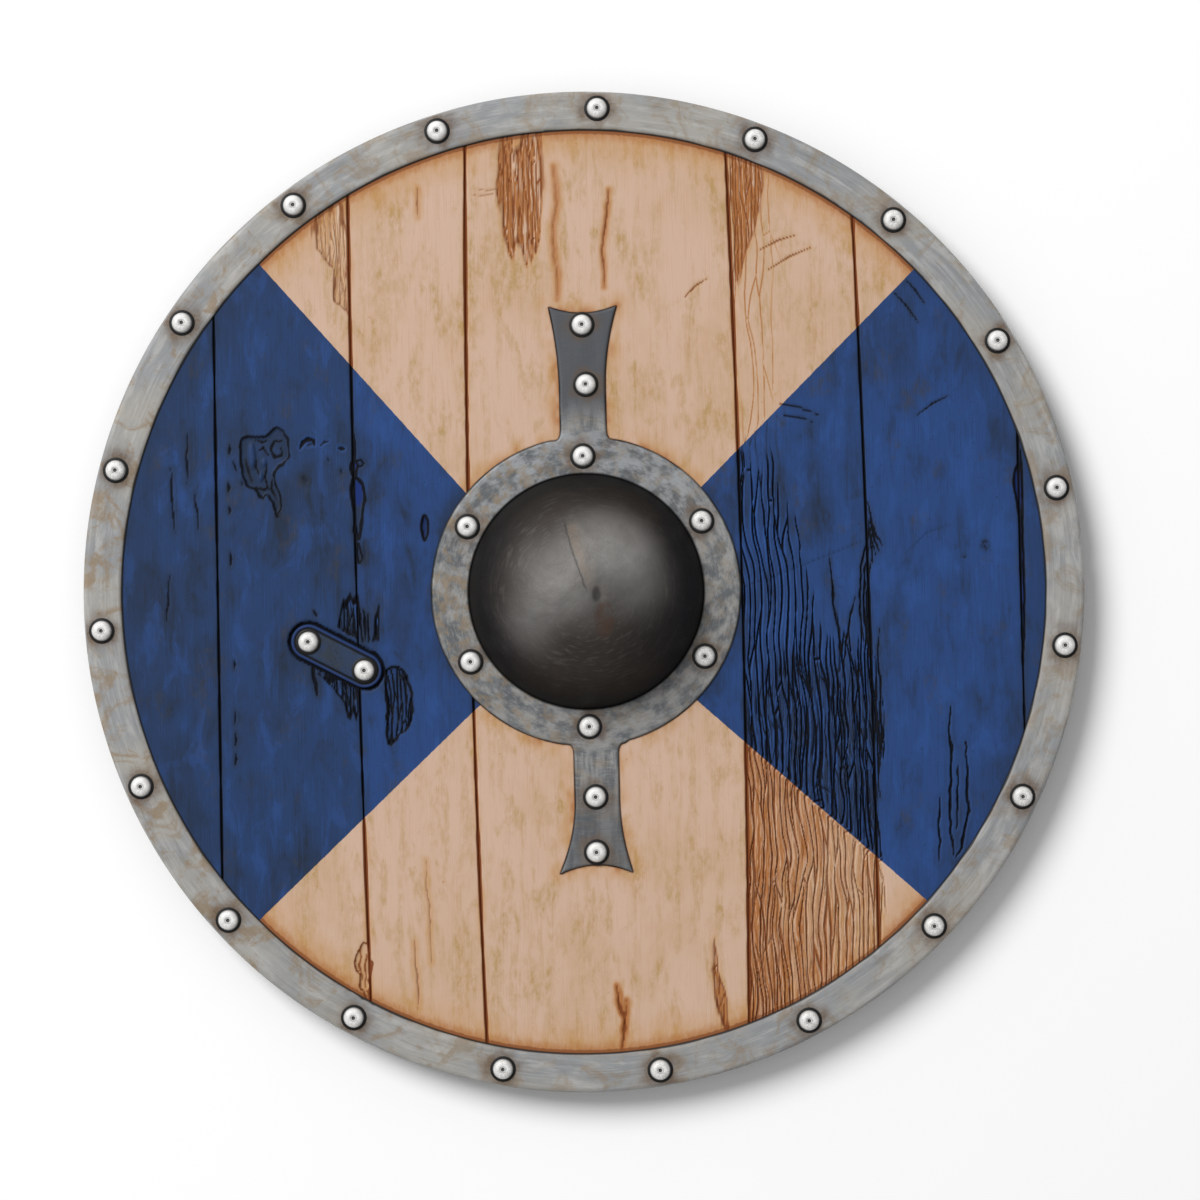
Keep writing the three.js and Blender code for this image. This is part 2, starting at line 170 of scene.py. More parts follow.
def blue_reach(x, y):
    """How far a point lies within the blue quarters; it is below zero in the cream ones."""
    left = np.minimum(-22.7 - x * 1.1622 - y, y + 8.0 - x * 0.9291)
    right = np.minimum(x * 0.9743 - 10.0 - y, y + 7.2 + x * 0.9136)
    return np.maximum(left, right)


def loop_distance(loop, x, y):
    """Distance from each point to a closed outline."""
    best = np.full(np.shape(x), 1e9)
    for (ax, ay), (bx, by) in zip(loop, np.roll(loop, -1, axis=0)):
        run_x, run_y = bx - ax, by - ay
        t = np.clip(((x - ax) * run_x + (y - ay) * run_y) / max(run_x ** 2 + run_y ** 2, 1e-9), 0, 1)
        best = np.minimum(best, np.hypot(x - ax - t * run_x, y - ay - t * run_y))
    return best


def inside(loop, x, y):
    """Whether each point lies within a closed outline."""
    crossings = np.zeros(np.shape(x), bool)
    for (ax, ay), (bx, by) in zip(loop, np.roll(loop, -1, axis=0)):
        if ay != by:
            crossings ^= ((ay > y) != (by > y)) & (x < (bx - ax) * (y - ay) / (by - ay) + ax)
    return crossings


def ring_loop(radius, steps, centre=(0, 0)):
    turn = np.arange(steps) * 2 * math.pi / steps
    return np.stack([centre[0] + radius * np.cos(turn), centre[1] + radius * np.sin(turn)], axis=1)


def bend(start, pull, end, steps):
    """Points of a curve from start to end that leans towards pull, without its last one."""
    t = (np.arange(steps) / steps)[:, None]
    start, pull, end = (np.array(p, float) for p in (start, pull, end))
    return start * (1 - t) ** 2 + pull * 2 * t * (1 - t) + end * t ** 2


def moved_in(loop, amount):
    """A closed outline moved to its left by an amount."""
    ahead = np.roll(loop, -1, axis=0) - loop
    behind = loop - np.roll(loop, 1, axis=0)
    left = np.stack([-(ahead + behind)[:, 1], (ahead + behind)[:, 0]], axis=1)
    return loop + amount * left / np.maximum(np.linalg.norm(left, axis=1, keepdims=True), 1e-9)


def rounded(points, rounds=2):
    """A closed outline with its corners cut off, again and again."""
    loop = np.array(points, float)
    for _ in range(rounds):
        ahead = np.roll(loop, -1, axis=0)
        loop = np.stack([loop * 0.75 + ahead * 0.25, loop * 0.25 + ahead * 0.75], axis=1).reshape(-1, 2)
    return loop


# ---- Meshes ---------------------------------------------------------------------------------

def piece(name, points, faces, fields=None, crease=50):
    """A mesh object from points in millimetres, with a field of numbers on its points for each name."""
    mesh = bpy.data.meshes.new(name)
    mesh.from_pydata((np.asarray(points) / MM).tolist(), [], [list(map(int, f)) for f in faces])
    for label, values in (fields or {}).items():
        field = mesh.attributes.new(label, "FLOAT", "POINT")
        field.data.foreach_set("value", np.asarray(values, np.float32))
    mesh.polygons.foreach_set("use_smooth", [True] * len(mesh.polygons))
    mesh.set_sharp_from_angle(angle=math.radians(crease))
    made = bpy.data.objects.new(name, mesh)
    bpy.context.scene.collection.objects.link(made)
    return made


def dress(made, material, slot, *nodes):
    """Puts a finished piece in the place of its nodes."""
    made.data.materials.append(material)
    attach(made, "root")
    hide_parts(*nodes)
    return made


def fill(loops, extra=None):
    """Triangles that fill the first outline around the others; gives the points in the plane and faces."""
    points = np.vstack(loops + ([extra] if extra is not None and len(extra) else []))
    edges = []
    first = 0
    for loop in loops:
        count = len(loop)
        edges += [(first + k, first + (k + 1) % count) for k in range(count)]
        first += count
    flat, _, faces, _, _, _ = delaunay_2d_cdt([Vector(p) for p in points], edges, [], 0, 1e-5)
    flat = np.array([tuple(p) for p in flat])
    faces = np.array(faces)
    middle = flat[faces].mean(axis=1)
    kept = inside(loops[0], middle[:, 0], middle[:, 1])
    for hole in loops[1:]:
        kept &= ~inside(hole, middle[:, 0], middle[:, 1])
    return flat, faces[kept]


class Shell:
    """A closed surface put together from strips and filled faces, welded at the end."""

    def __init__(self):
        self.points = []
        self.faces = []
        self.count = 0

    def add(self, points, faces):
        self.points.append(np.asarray(points, float))
        self.faces += [[int(k) + self.count for k in face] for face in faces]
        self.count += len(points)

    def strip(self, lower, upper):
        """A band between two closed rings of as many points."""
        count = len(lower)
        self.add(np.vstack([lower, upper]),
                 [(k, (k + 1) % count, count + (k + 1) % count, count + k) for k in range(count)])

    def cap(self, loops, height, upwards):
        flat, faces = fill(loops)
        points = np.column_stack([flat, np.full(len(flat), height)])
        self.add(points, faces if upwards else faces[:, ::-1])

    def all_points(self):
        return np.vstack(self.points)


def weld(made, distance=0.004):
    """Joins points that lie together."""
    import bmesh
    work = bmesh.new()
    work.from_mesh(made.data)
    bmesh.ops.remove_doubles(work, verts=work.verts, dist=distance / MM)
    bmesh.ops.recalc_face_normals(work, faces=work.faces)
    work.to_mesh(made.data)
    work.free()
    return made


def turned(profile, steps, centre=(0, 0), wobble=None):
    """A closed or axis-to-axis profile of (radius, height) swept round; gives points and faces."""
    profile = np.asarray(profile, float)
    turn = np.arange(steps) * 2 * math.pi / steps
    radius = np.repeat(profile[:, 0][None, :], steps, axis=0)
    height = np.repeat(profile[:, 1][None, :], steps, axis=0)
    if wobble:
        radius, height = wobble(radius, height, turn[:, None])
    points = np.stack([
        centre[0] + radius * np.cos(turn)[:, None],
        centre[1] + radius * np.sin(turn)[:, None],
        height,
    ], axis=2).reshape(-1, 3)
    return points, len(profile)


def swept_faces(steps, count, closed):
    faces = []
    last = count if closed else count - 1
    for k in range(steps):
        here, ahead = k * count, (k + 1) % steps * count
        for j in range(last):
            up = (j + 1) % count
            faces.append((here + j, ahead + j, ahead + up, here + up))
    return faces


# ---- The boards' face -----------------------------------------------------------------------

class Face:
    """The boards' face over a grid: cut depth, soot in the cuts with painted shade lines round the ironwork, brown
    wash, painted highlights on ridges and crack edges, fresh blue, worn fibres.
    """

    def __init__(self, x, y):
        self.x, self.y = x, y
        for label in ("depth", "soot", "wash", "rub", "fresh", "worn"):
            setattr(self, label, np.zeros(x.shape))

    def near(self, low_x, high_x, low_y, high_y):
        return (self.x > low_x) & (self.x < high_x) & (self.y > low_y) & (self.y < high_y)

    def raise_to(self, here, **fields):
        """Keeps the larger of what is there and what is given."""
        for label, values in fields.items():
            whole = getattr(self, label)
            whole[here] = np.maximum(whole[here], values)

    def groove(self, stations, soot=1.0, wash=0.6, waver=0.5, seed=1, rub=0.0, reach=3.0):
        """A cut along stations (x, y, half width, depth) whose edges waver with the grain."""
        xs, ys, halves, _ = zip(*stations)
        margin = max(halves) + 3 * reach
        here = self.near(min(xs) - margin, max(xs) + margin, min(ys) - margin, max(ys) + margin)
        if not here.any():
            return
        x = self.x[here] + waver * noise(self.x[here] / 2.5, self.y[here] / 6, seed)
        x = x + 1.4 * waver * noise(0, self.y[here] / 17, seed + 3)
        y = self.y[here]
        share = np.full(x.shape, 99.0)
        deep, wide = np.zeros(x.shape), np.ones(x.shape)
        for (ax, ay, a_half, a_deep), (bx, by, b_half, b_deep) in zip(stations, stations[1:]):
            run_x, run_y = bx - ax, by - ay
            t = np.clip(((x - ax) * run_x + (y - ay) * run_y) / (run_x ** 2 + run_y ** 2), 0, 1)
            half = a_half + (b_half - a_half) * t
            away = np.hypot(x - ax - t * run_x, y - ay - t * run_y) / half
            nearer = away < share
            share = np.where(nearer, away, share)
            deep = np.where(nearer, a_deep + (b_deep - a_deep) * t, deep)
            wide = np.where(nearer, half, wide)
        over = np.clip((share - 1) * wide, 0, None)
        self.raise_to(
            here,
            depth=deep * np.clip(1 - share ** 2, 0, None),
            soot=soot * ease(1.25, 0.65, share),
            wash=wash * np.exp(-(over / reach) ** 2),
            # Painted highlight: a lighter band just outside the cut's edge.
            rub=rub * np.exp(-((over - 0.8) / 0.9) ** 2) * (share > 1),
        )

    def hollow(self, outline, depth=1.2, edge=0.9, soot=0.3, wash=0.9, fresh=0.0, waver=0.5, seed=1, rim=1.0):
        """A sunk place with a dark line along its edge."""
        loop = rounded(outline)
        here = self.near(*(f(loop[:, k]) + side for k in (0, 1) for f, side in ((np.min, -4), (np.max, 4))))
        if not here.any():
            return
        x = self.x[here] + waver * noise(self.x[here] / 2.6, self.y[here] / 4, seed)
        y = self.y[here] + waver * noise(self.x[here] / 4, self.y[here] / 2.6, seed + 5)
        away = loop_distance(loop, x, y)
        within = np.where(inside(loop, x, y), away, -away)
        self.raise_to(
            here,
            depth=depth * ease(-0.4, 1.4, within),
            soot=np.maximum(soot * ease(0, 1, within), rim * ease(edge + 0.6, edge - 0.3, away)),
            wash=wash * ease(-2.5, 0.4, within),
            fresh=fresh * ease(0.2, 0.9, within),
        )

    def frayed(self, rows, depth=0.9, seed=3, soot=0.8, ends=14, ragged=2.0, rub=0.9, edge=0.5, wash=1.0):
        """A place worn down to its fibres; rows are (y, left, right), from foot to head."""
        ys, lefts, rights = (np.array(column, float) for column in zip(*rows))
        here = self.near(lefts.min() - 6, rights.max() + 6, ys.min() - ends, ys.max() + ends)
        if not here.any():
            return
        x, y = self.x[here], self.y[here]
        waver = ragged * (0.6 * noise(x / 2.1, y / 13, seed) + 0.8 * noise(x / 5, y / 19, seed + 4))
        within = np.minimum(x - np.interp(y, ys, lefts), np.interp(y, ys, rights) - x) + waver
        tongue = ends * noise(x / 1.9 + 0.3 * noise(x / 4, y / 9, seed), 0.3, seed + 5)
        within = np.minimum(within, (y - ys.min() + tongue) / 4)
        within = np.minimum(within, (ys.max() - y + tongue) / 4)
        place = ease(0, 0.9, within)
        across = x + 1.2 * noise(x / 9, y / 23, seed + 6)
        strand = bark(across, y, 3.0, 46, seed + 1)
        crack = ease(0.75, 0.3, strand)
        outline = ease(1.3, 0.2, np.abs(within - 0.5)) * edge
        self.raise_to(
            here,
            depth=place * depth * (0.4 + 0.6 * crack),
            soot=np.maximum(place * soot * crack, outline),
            wash=wash * np.maximum(place, 0.4 * ease(-4, 0, within)),
            # Painted highlight on the crests of the strands.
            rub=place * rub * ease(0.8, 1.3, strand) * ease(0.1, 0.6, noise(x / 3, y / 18, seed + 11)),
            worn=place,
        )



def head_to_foot(seam, low, high, half, depth, steps=5, sway=0.6, seed=0):
    """Stations along a seam between two heights, tapering to both ends."""
    t = np.linspace(0, 1, steps)
    y = low + (high - low) * t
    swell = 0.35 + 0.65 * np.sin(math.pi * (0.08 + 0.84 * t))
    x = seam_x(seam, y) + sway * noise(t * 5, seed + 0.5, seed)
    return [tuple(map(float, s)) for s in zip(x, y, half * swell, depth * swell)]


def line(points, half, depth):
    """Stations along points (x, y) for a cut that tapers to both ends."""
    last = len(points) - 1
    return [
        (x, y, half * (0.45 if k in (0, last) else 1), depth * (0.5 if k in (0, last) else 1))
        for k, (x, y) in enumerate(points)
    ]


def carve_seams(face):
    """The joints between planks: a wavering groove, scorched, with a stain beside it."""
    cream = ease(2, -2, blue_reach(face.x, face.y))
    for number, seam in enumerate(SEAMS):
        away = np.abs(face.x - seam_x(seam, face.y))
        width = 0.95 + 0.35 * cream + 0.22 * noise(face.y / 9, number, 11) + 0.2 * noise(face.y / 37, number, 12)
        share = away / width
        here = away < 14
        stain = 0.4 + 0.3 * noise(face.x / 3, face.y / 16, 13 + number)
        face.raise_to(
            here,
            depth=(1.2 * np.clip(1.15 - share, 0, 1))[here],
            soot=ease(1.3, 0.75, share)[here],
            wash=(stain * np.exp(-(away / (2.2 + 2 * noise(face.y / 23, number, 14) ** 2)) ** 2))[here],
        )


def carve_head(face):
    """Cracks and worn places in the cream boards above the boss."""
    face.frayed([
        (231, -42, -33), (238, -47, -28), (253, -51, -24.5), (283, -53.8, -21.7), (324, -52.3, -19.5),
    ], seed=21, ends=24)
    face.frayed([
        (205, 110, 113), (220, 109.5, 115.5), (230, 110, 119), (246, 109, 126), (281, 109, 134), (322, 108, 134),
    ], seed=23, soot=0.65, ends=20)
    face.frayed([
        (197, -161, -159), (208, -168, -160), (230, -171, -160), (245, -182, -160), (270, -182, -162),
        (282, -180, -165),
    ], seed=25, ragged=3.2, ends=8, soot=0.5, rub=1, wash=0.42, edge=0.7)
    face.groove(line([(-14, 298), (-13, 272), (-15.4, 256.5), (-14.6, 239), (-13.4, 225), (-13.9, 205)], 0.7, 0.8),
                soot=0.4, wash=0.8, reach=3.5)
    face.groove(line([(23.5, 281), (21.9, 266.6), (20.9, 253), (19.3, 238), (19, 212.7)], 0.75, 1.0), wash=0.8,
                soot=0.7, reach=2.5)
    face.groove(line([(-110, 285), (-110.6, 274), (-110, 265)], 0.7, 0.6), soot=0.6)
    for points in ([(-70, 283.5), (-61, 282.6), (-52, 284)], [(-72, 279.6), (-64, 278.8), (-57, 279.8)]):
        face.groove(line(points, 0.7, 0.4), soot=0.5, wash=0.3, waver=0.2, reach=1)


def carve_left(face):
    """The left boards: worm holes, pits, slits and the widened seam."""
    blue = dict(wash=0.5, rub=0.5)
    face.hollow([
        (-212, 121.5), (-206, 116), (-204, 108), (-204, 102), (-205.5, 97), (-209, 94), (-213.5, 91), (-215, 87),
        (-214, 80), (-210.5, 74), (-209.5, 68), (-211, 62), (-214, 57), (-214.5, 64), (-217, 71), (-221, 73.5),
        (-224, 69.5), (-226, 76), (-230, 78), (-234, 80), (-236.5, 87), (-238.5, 97), (-238.5, 107),
        (-236.5, 113), (-232, 115.5), (-228, 113.5), (-219, 114),
    ], depth=1.3, edge=0.6, wash=0.62, soot=0.1, waver=0.9, seed=31)
    for points in (
        [(-209, 111), (-214.5, 110.5), (-217, 105), (-214, 99.5), (-209.5, 101), (-210, 106)],
        [(-225, 105), (-222, 106.5), (-219, 101)],
        [(-226.5, 98), (-227.5, 92), (-224, 87)],
        [(-219.5, 95), (-221, 86), (-219, 78)],
        [(-228, 112), (-222, 110), (-218.5, 112)],
        [(-215, 84), (-217, 78), (-213.5, 70)],
        [(-228, 78.5), (-223, 77), (-217, 78)],
    ):
        face.groove(line(points, 0.9, 1.9), seed=32, waver=1.1, wash=0.9, reach=1.2)
    face.groove(line([(-233.8, 98), (-233, 90), (-231, 83)], 1.2, 1.6), soot=0.7, seed=32, waver=0.8, wash=1)
    for x, y, across, along in ((-230, 101, 2.6, 9), (-224, 86, 1.6, 3), (-221.5, 96, 1.6, 2.5)):
        here = face.near(x - 6, x + 6, y - 14, y + 14)
        lump = np.hypot((face.x[here] - x) / across, (face.y[here] - y) / along)
        face.depth[here] *= ease(0.6, 1.2, lump)
        face.soot[here] *= ease(0.6, 1.1, lump)
        face.wash[here] *= 0.2 + 0.8 * ease(0.6, 1.2, lump)
    face.groove([(-196, 105.5, 0.9, 0.8), (-194, 109.5, 1.4, 1.2), (-190.5, 111.5, 1.6, 1.3), (-186.8, 110.5, 1.3, 1.1),
                 (-186, 107.5, 0.7, 0.6)], waver=0.7, seed=34, **blue)
    face.groove([(-190, 107.5, 1.2, 0.8), (-188, 108, 1.1, 0.8)], waver=0.7, seed=34, soot=0.5, **blue)
    face.groove(line([(-182, 107), (-179, 109.5), (-176, 110)], 0.9, 0.7), waver=0.7, seed=35, soot=0.75, **blue)
    face.groove([(-168.6, 104.8, 1.1, 1), (-165.8, 104, 1.2, 1)], waver=0.4, seed=36, **blue)
    for x, y, half in ((-177, 96.5, 0.9), (-168.3, 88.3, 0.9), (-238, 81.5, 0.9)):
        face.groove([(x, y + 1, half, 0.6), (x + 0.6, y - 1, half, 0.6)], seed=36, soot=0.6, wash=0.5)
    face.groove([(-194.4, 84.4, 1.6, 0.8), (-192.4, 82.4, 1.6, 0.8)], seed=36, soot=0.35, wash=1)
    for x, y, half, length in (
        (-245.5, 105.5, 1.3, 6), (-246.5, 79, 1.1, 7), (-246, 63, 1.2, 5), (-246, 29, 1.1, 9), (-246, -45, 1.0, 6),
        (-246.5, -82, 1.0, 10), (-246, -97, 1.1, 9), (-246.6, -111, 0.9, 8),
    ):
        face.groove(line([(x, y + length / 2), (x + 0.4, y), (x - 0.2, y - length / 2)], half, 0.9),
                    seed=37, soot=0.85, wash=0.5)
    face.groove(line([(-242.5, 97), (-241.6, 93.5), (-241, 90)], 0.9, 0.8), seed=37, soot=0.85, wash=0.4)
    face.hollow([(-110.4, 58), (-107.6, 52), (-107.8, 44), (-110.8, 37), (-112.6, 45), (-112.6, 52)], depth=1.4,
                edge=0.7, wash=0.7, fresh=0.5, waver=0.2, seed=38)
    for points in (
        [(-287.2, 93), (-286, 70), (-284.8, 48.5)],
        [(-274.2, 117.8), (-275.6, 100), (-276.1, 82.2)],
        [(-270, 76.5), (-268.6, 63), (-267.8, 49.9)],
        [(-289.1, 18.2), (-291, 2), (-292.5, -13.8)],
    ):
        face.groove(line(points, 0.9, 0.7), soot=0.8, wash=0.4, seed=39)


def carve_second_seam(face):
    """The second joint, opened into lobes with fresh blue inside, and brown wood below them."""
    face.groove([(-158.6, 113, 0.9, 1), (-158.4, 104, 1.5, 1.5), (-158.6, 97, 1.8, 1.5)], seed=41, wash=0.5, waver=0.4)
    face.hollow([(-159, 97), (-156, 94), (-157.4, 88), (-157.6, 84), (-160.2, 86), (-161.6, 91)], edge=0.8,
                wash=0.5, fresh=0.9, waver=0.4, seed=42)
    face.groove(line([(-157, 95.5), (-153.5, 96), (-151.6, 93.5), (-154, 91.4), (-156.4, 92)], 0.75, 0.8),
                waver=0.2, seed=42, wash=0.5)
    face.hollow([
        (-158.6, 84.5), (-154.6, 82), (-151.6, 76), (-151.8, 68), (-153.2, 60), (-155.2, 48), (-156.4, 40),
        (-158.6, 44), (-159, 56), (-160.4, 66), (-161.4, 74), (-160.6, 81),
    ], depth=1.5, edge=0.9, wash=0.8, fresh=0.0, soot=0.1, waver=0.5, seed=43)
    here = face.near(-164, -149, 60, 86)
    body = np.hypot((face.x[here] + 156.4) / 3.6, (face.y[here] - 73) / 10)
    face.raise_to(here, fresh=ease(1.05, 0.75, body))
    face.groove(line([(-158.4, 62), (-158.6, 52), (-159.4, 46), (-158.2, 38)], 0.9, 1.3), waver=0.4, seed=44, wash=0.8)
    face.hollow([(-157, 40), (-155.4, 34), (-154.2, 27), (-157, 23.5), (-158.8, 30)], depth=1.2, edge=0.6, wash=1,
                soot=0.15, waver=0.4, seed=45)
    face.groove([(-152.2, 38, 0.7, 0.3), (-151.8, 31, 1.3, 0.5), (-152.4, 25, 0.7, 0.3)], soot=0.25, wash=0.9, seed=46)


def carve_round_repair(face):
    """What the repair plate was put over: torn fibres above and below it, drips, and a feathered gouge."""
    torn = dict(depth=1.6, soot=1, rub=1, edge=0.9, ragged=1.3, wash=0.6)
    face.frayed([(-29, -160, -158), (-20, -173, -158), (-10, -170, -157.6), (2, -168, -158)], seed=42, ends=5, **torn)
    face.frayed([(-30, -149, -143), (-20, -148, -143), (-12, -146, -143), (-4, -144.6, -142.6)], seed=47, ends=4, **torn)
    for points in (
        [(-157, -4), (-156.4, -16), (-156, -31)],
        [(-154, -8), (-153.4, -18), (-153.6, -30)],
        [(-151.6, -12), (-151, -22), (-151.4, -31)],
        [(-186, -13), (-187.4, -11), (-189, -8)],
        [(-141, -52), (-146, -62), (-153, -65)],
    ):
        face.groove(line(points, 0.9, 1.2), seed=44, waver=0.6, wash=0.6, reach=1.5)
    face.groove([(-203, -24, 0.6, 0.5), (-203.6, -30, 1.6, 1.4), (-201, -36, 1.2, 1)], seed=44, wash=0.6)
    face.frayed([(-82, -168, -159.4), (-74, -170, -159.6), (-64, -176, -160), (-53, -187, -160)], seed=43, ends=5, **torn)
    face.groove([(-190.4, -48, 1.6, 1), (-189.4, -57, 1.5, 1.2), (-188, -67, 0.8, 0.6)], seed=44, wash=0.7)
    gouge = [
        (-140, -51), (-134, -48.6), (-128, -51), (-125, -58), (-123, -66), (-122, -74), (-122, -84), (-124, -91),
        (-128, -95), (-132, -96), (-134, -100), (-138.4, -105), (-140, -98), (-140, -88), (-139, -76), (-140, -66),
        (-141, -56),
    ]
    face.hollow(gouge, depth=1.2, edge=0.7, soot=0.35, wash=1, waver=0.8, seed=48)
    here = face.near(-146, -118, -108, -46)
    x, y = face.x[here], face.y[here]
    bowed = x - 5 * np.cos((y + 74) / 26)
    strand = bark(bowed + 0.6 * noise(x / 4, y / 7, 48), y, 2.8, 30, 49)
    within = inside(rounded(gouge), x, y)
    face.raise_to(here, soot=within * ease(0.75, 0.3, strand), depth=within * 2 * ease(0.75, 0.3, strand))
    # Painted highlight on the gouge's strands.
    face.rub[here] = np.maximum(face.rub[here], within * 0.6 * ease(0.7, 1.1, strand))
    face.groove(line([(-104.6, -18.4), (-97, -15), (-90.4, -10.4)], 0.6, 0.4), soot=0.5, wash=0.2)


def carve_foot(face):
    """Chips and cracks in the cream boards below the boss."""
    face.hollow([
        (-159.4, -240), (-163, -246), (-166.4, -254), (-164.6, -262), (-163, -271), (-160.4, -279), (-158.4, -286),
        (-156.8, -278), (-156.2, -268), (-155, -257), (-156.6, -247),
    ], depth=1.2, edge=0.6, wash=0.25, soot=0.0, waver=1.4, seed=51)
    for points in ([(-161, -246), (-162.6, -256), (-160.6, -268)], [(-158, -250), (-158.6, -262), (-158.2, -276)]):
        face.groove(line(points, 0.8, 1.0), soot=0.8, waver=0.9, wash=0.6, reach=1.2, seed=51)
    face.groove(line([(-114.9, -184.5), (-113.9, -216.5), (-112.5, -257.2)], 0.7, 0.6), soot=0.55, wash=0.45)
    face.groove(line([(-124.3, -241.2), (-123.6, -266), (-123.1, -289.1)], 0.8, 0.7), soot=0.6, wash=0.5)
    face.groove([(16, -276, 0.6, 0.6), (19.4, -290, 1.2, 1.6), (21.6, -299, 1.3, 1.6), (19.4, -322, 0.7, 0.8)],
                waver=1.2, seed=52, wash=1, soot=0.8)
    face.groove(line([(23.5, -286), (22.4, -296), (20.6, -306)], 0.7, 1), waver=0.9, seed=52, soot=0.7, wash=1)
    face.frayed([
        (-312, 90, 95), (-290, 86.5, 93), (-266, 82.5, 88.5), (-246, 83.2, 86.5),
    ], depth=1.2, seed=53, ragged=1.4, ends=10, edge=0.8)


def carve_right(face):
    """The right boards: long cracks, the slit at the outer seam, and the tuft where the fifth joint split."""
    blue = dict(wash=0.5, rub=0.4)
    for points, half in (
        ([(252.9, -86), (253.1, -121.5), (252.6, -155), (253.3, -190)], 1.0),
        ([(263.1, -111), (264.8, -145.5), (266.3, -160), (259.6, -184.5), (254.5, -192)], 1.0),
        ([(246.5, -150), (244.7, -168.1), (243.8, -194.6)], 0.9),
        ([(257.5, -128), (258.4, -150), (257.2, -172)], 0.8),
    ):
        face.groove(line(points, half, 1.5), seed=61, waver=0.9, **blue)
    face.hollow([(306.6, 84), (303.6, 79), (302.2, 72), (302.6, 64), (304.2, 56), (305, 47), (307.6, 44), (308, 60),
                 (308.2, 76)], depth=1.4, edge=0.8, wash=0.4, fresh=1, waver=0.2, seed=62)
    here = face.near(304, 309, -28, 52)
    face.raise_to(here, fresh=0.9 * ease(307.9, 307.2, face.x[here]) * ease(305.4, 306.2, face.x[here])
                  * ease(-28, -20, face.y[here]))
    face.groove([(308, 92, 0.6, 0.8), (308.2, 76, 0.8, 1.2), (307.8, 40, 0.8, 1.2), (307.8, -18, 0.8, 1.2),
                 (307, -40, 0.7, 1), (306.2, -52, 0.5, 0.6)], waver=0.15, seed=63, wash=0.4, reach=1)
    for points in (
        [(199.6, 58), (201.6, 44), (204.6, 34), (208, 28)],
        [(200.4, 44), (203.6, 32), (206.6, 23)],
        [(200.2, 40), (202, 30), (204, 21)],
        [(200.2, 38), (200.8, 28), (201.8, 16)],
        [(199.6, 46), (198, 30), (194.6, 18), (193, 4), (193.4, -20), (193.8, -39)],
        [(199.2, 26), (196.4, 10), (195.6, -10), (196.4, -30), (195.8, -42)],
        [(200.6, 18), (198.2, 0), (197.7, -22), (198.4, -46), (196.6, -64)],
        [(204.5, -30), (204.8, -60), (205.6, -90), (205, -120)],
        [(202.4, -50), (202.8, -80), (204, -112), (203, -150)],
        [(171.6, 19), (173.4, 2), (175.4, -18), (178, -40), (177, -60)],
        [(190.4, -8), (185, -24), (181.6, -40), (181, -58)],
        [(188, -52), (189.6, -64), (188, -84), (189.4, -104)],
    ):
        face.groove(line(points, 0.75, 1.2), seed=64, waver=0.7, soot=1, wash=0.5, reach=1.5)
    for points in (
        [(84.5, -2.1), (109, 0.1), (144.2, 11.8), (172, 22), (195.1, 31)],
        [(226, 22), (241, 36), (258, 41)],
    ):
        face.groove(line(points, 0.5, 0.3), soot=0.4, wash=0.15, waver=0.2, reach=1)
    for x, y, wide, tall, much in ((281, 26, 3.6, 5, 0.75), (266, 19, 2.2, 2.4, 0.8)):
        here = face.near(x - 12, x + 12, y - 14, y + 14)
        lump = np.hypot((face.x[here] - x) / wide, (face.y[here] - y) / tall)
        patchy = 0.6 + 0.4 * noise(face.x[here] / 1.3, face.y[here] / 1.8, 66)
        face.raise_to(here, wash=ease(1.5, 0.5, lump) * patchy, soot=much * ease(1.3, 0.3, lump) * patchy)


def carve_scores(face):
    """Shallow knife scores across the upper right boards."""
    for x, y, run_x, run_y in (
        (128, 236, 26, 10), (134, 222, 30, 15), (222, 204, 16, -21), (231, 212, 12, -16),
        (140, 128, 27, -8), (143, 120, 20, -5), (236, 118, 22, 13), (76, 205, 15, 12),
    ):
        face.groove(line([(x, y), (x + run_x * 0.5, y + run_y * 0.5 + 1.4), (x + run_x, y + run_y)], 0.85, 0.5),
                    soot=0.8, wash=0.35, waver=0.15, reach=1.2, seed=81)


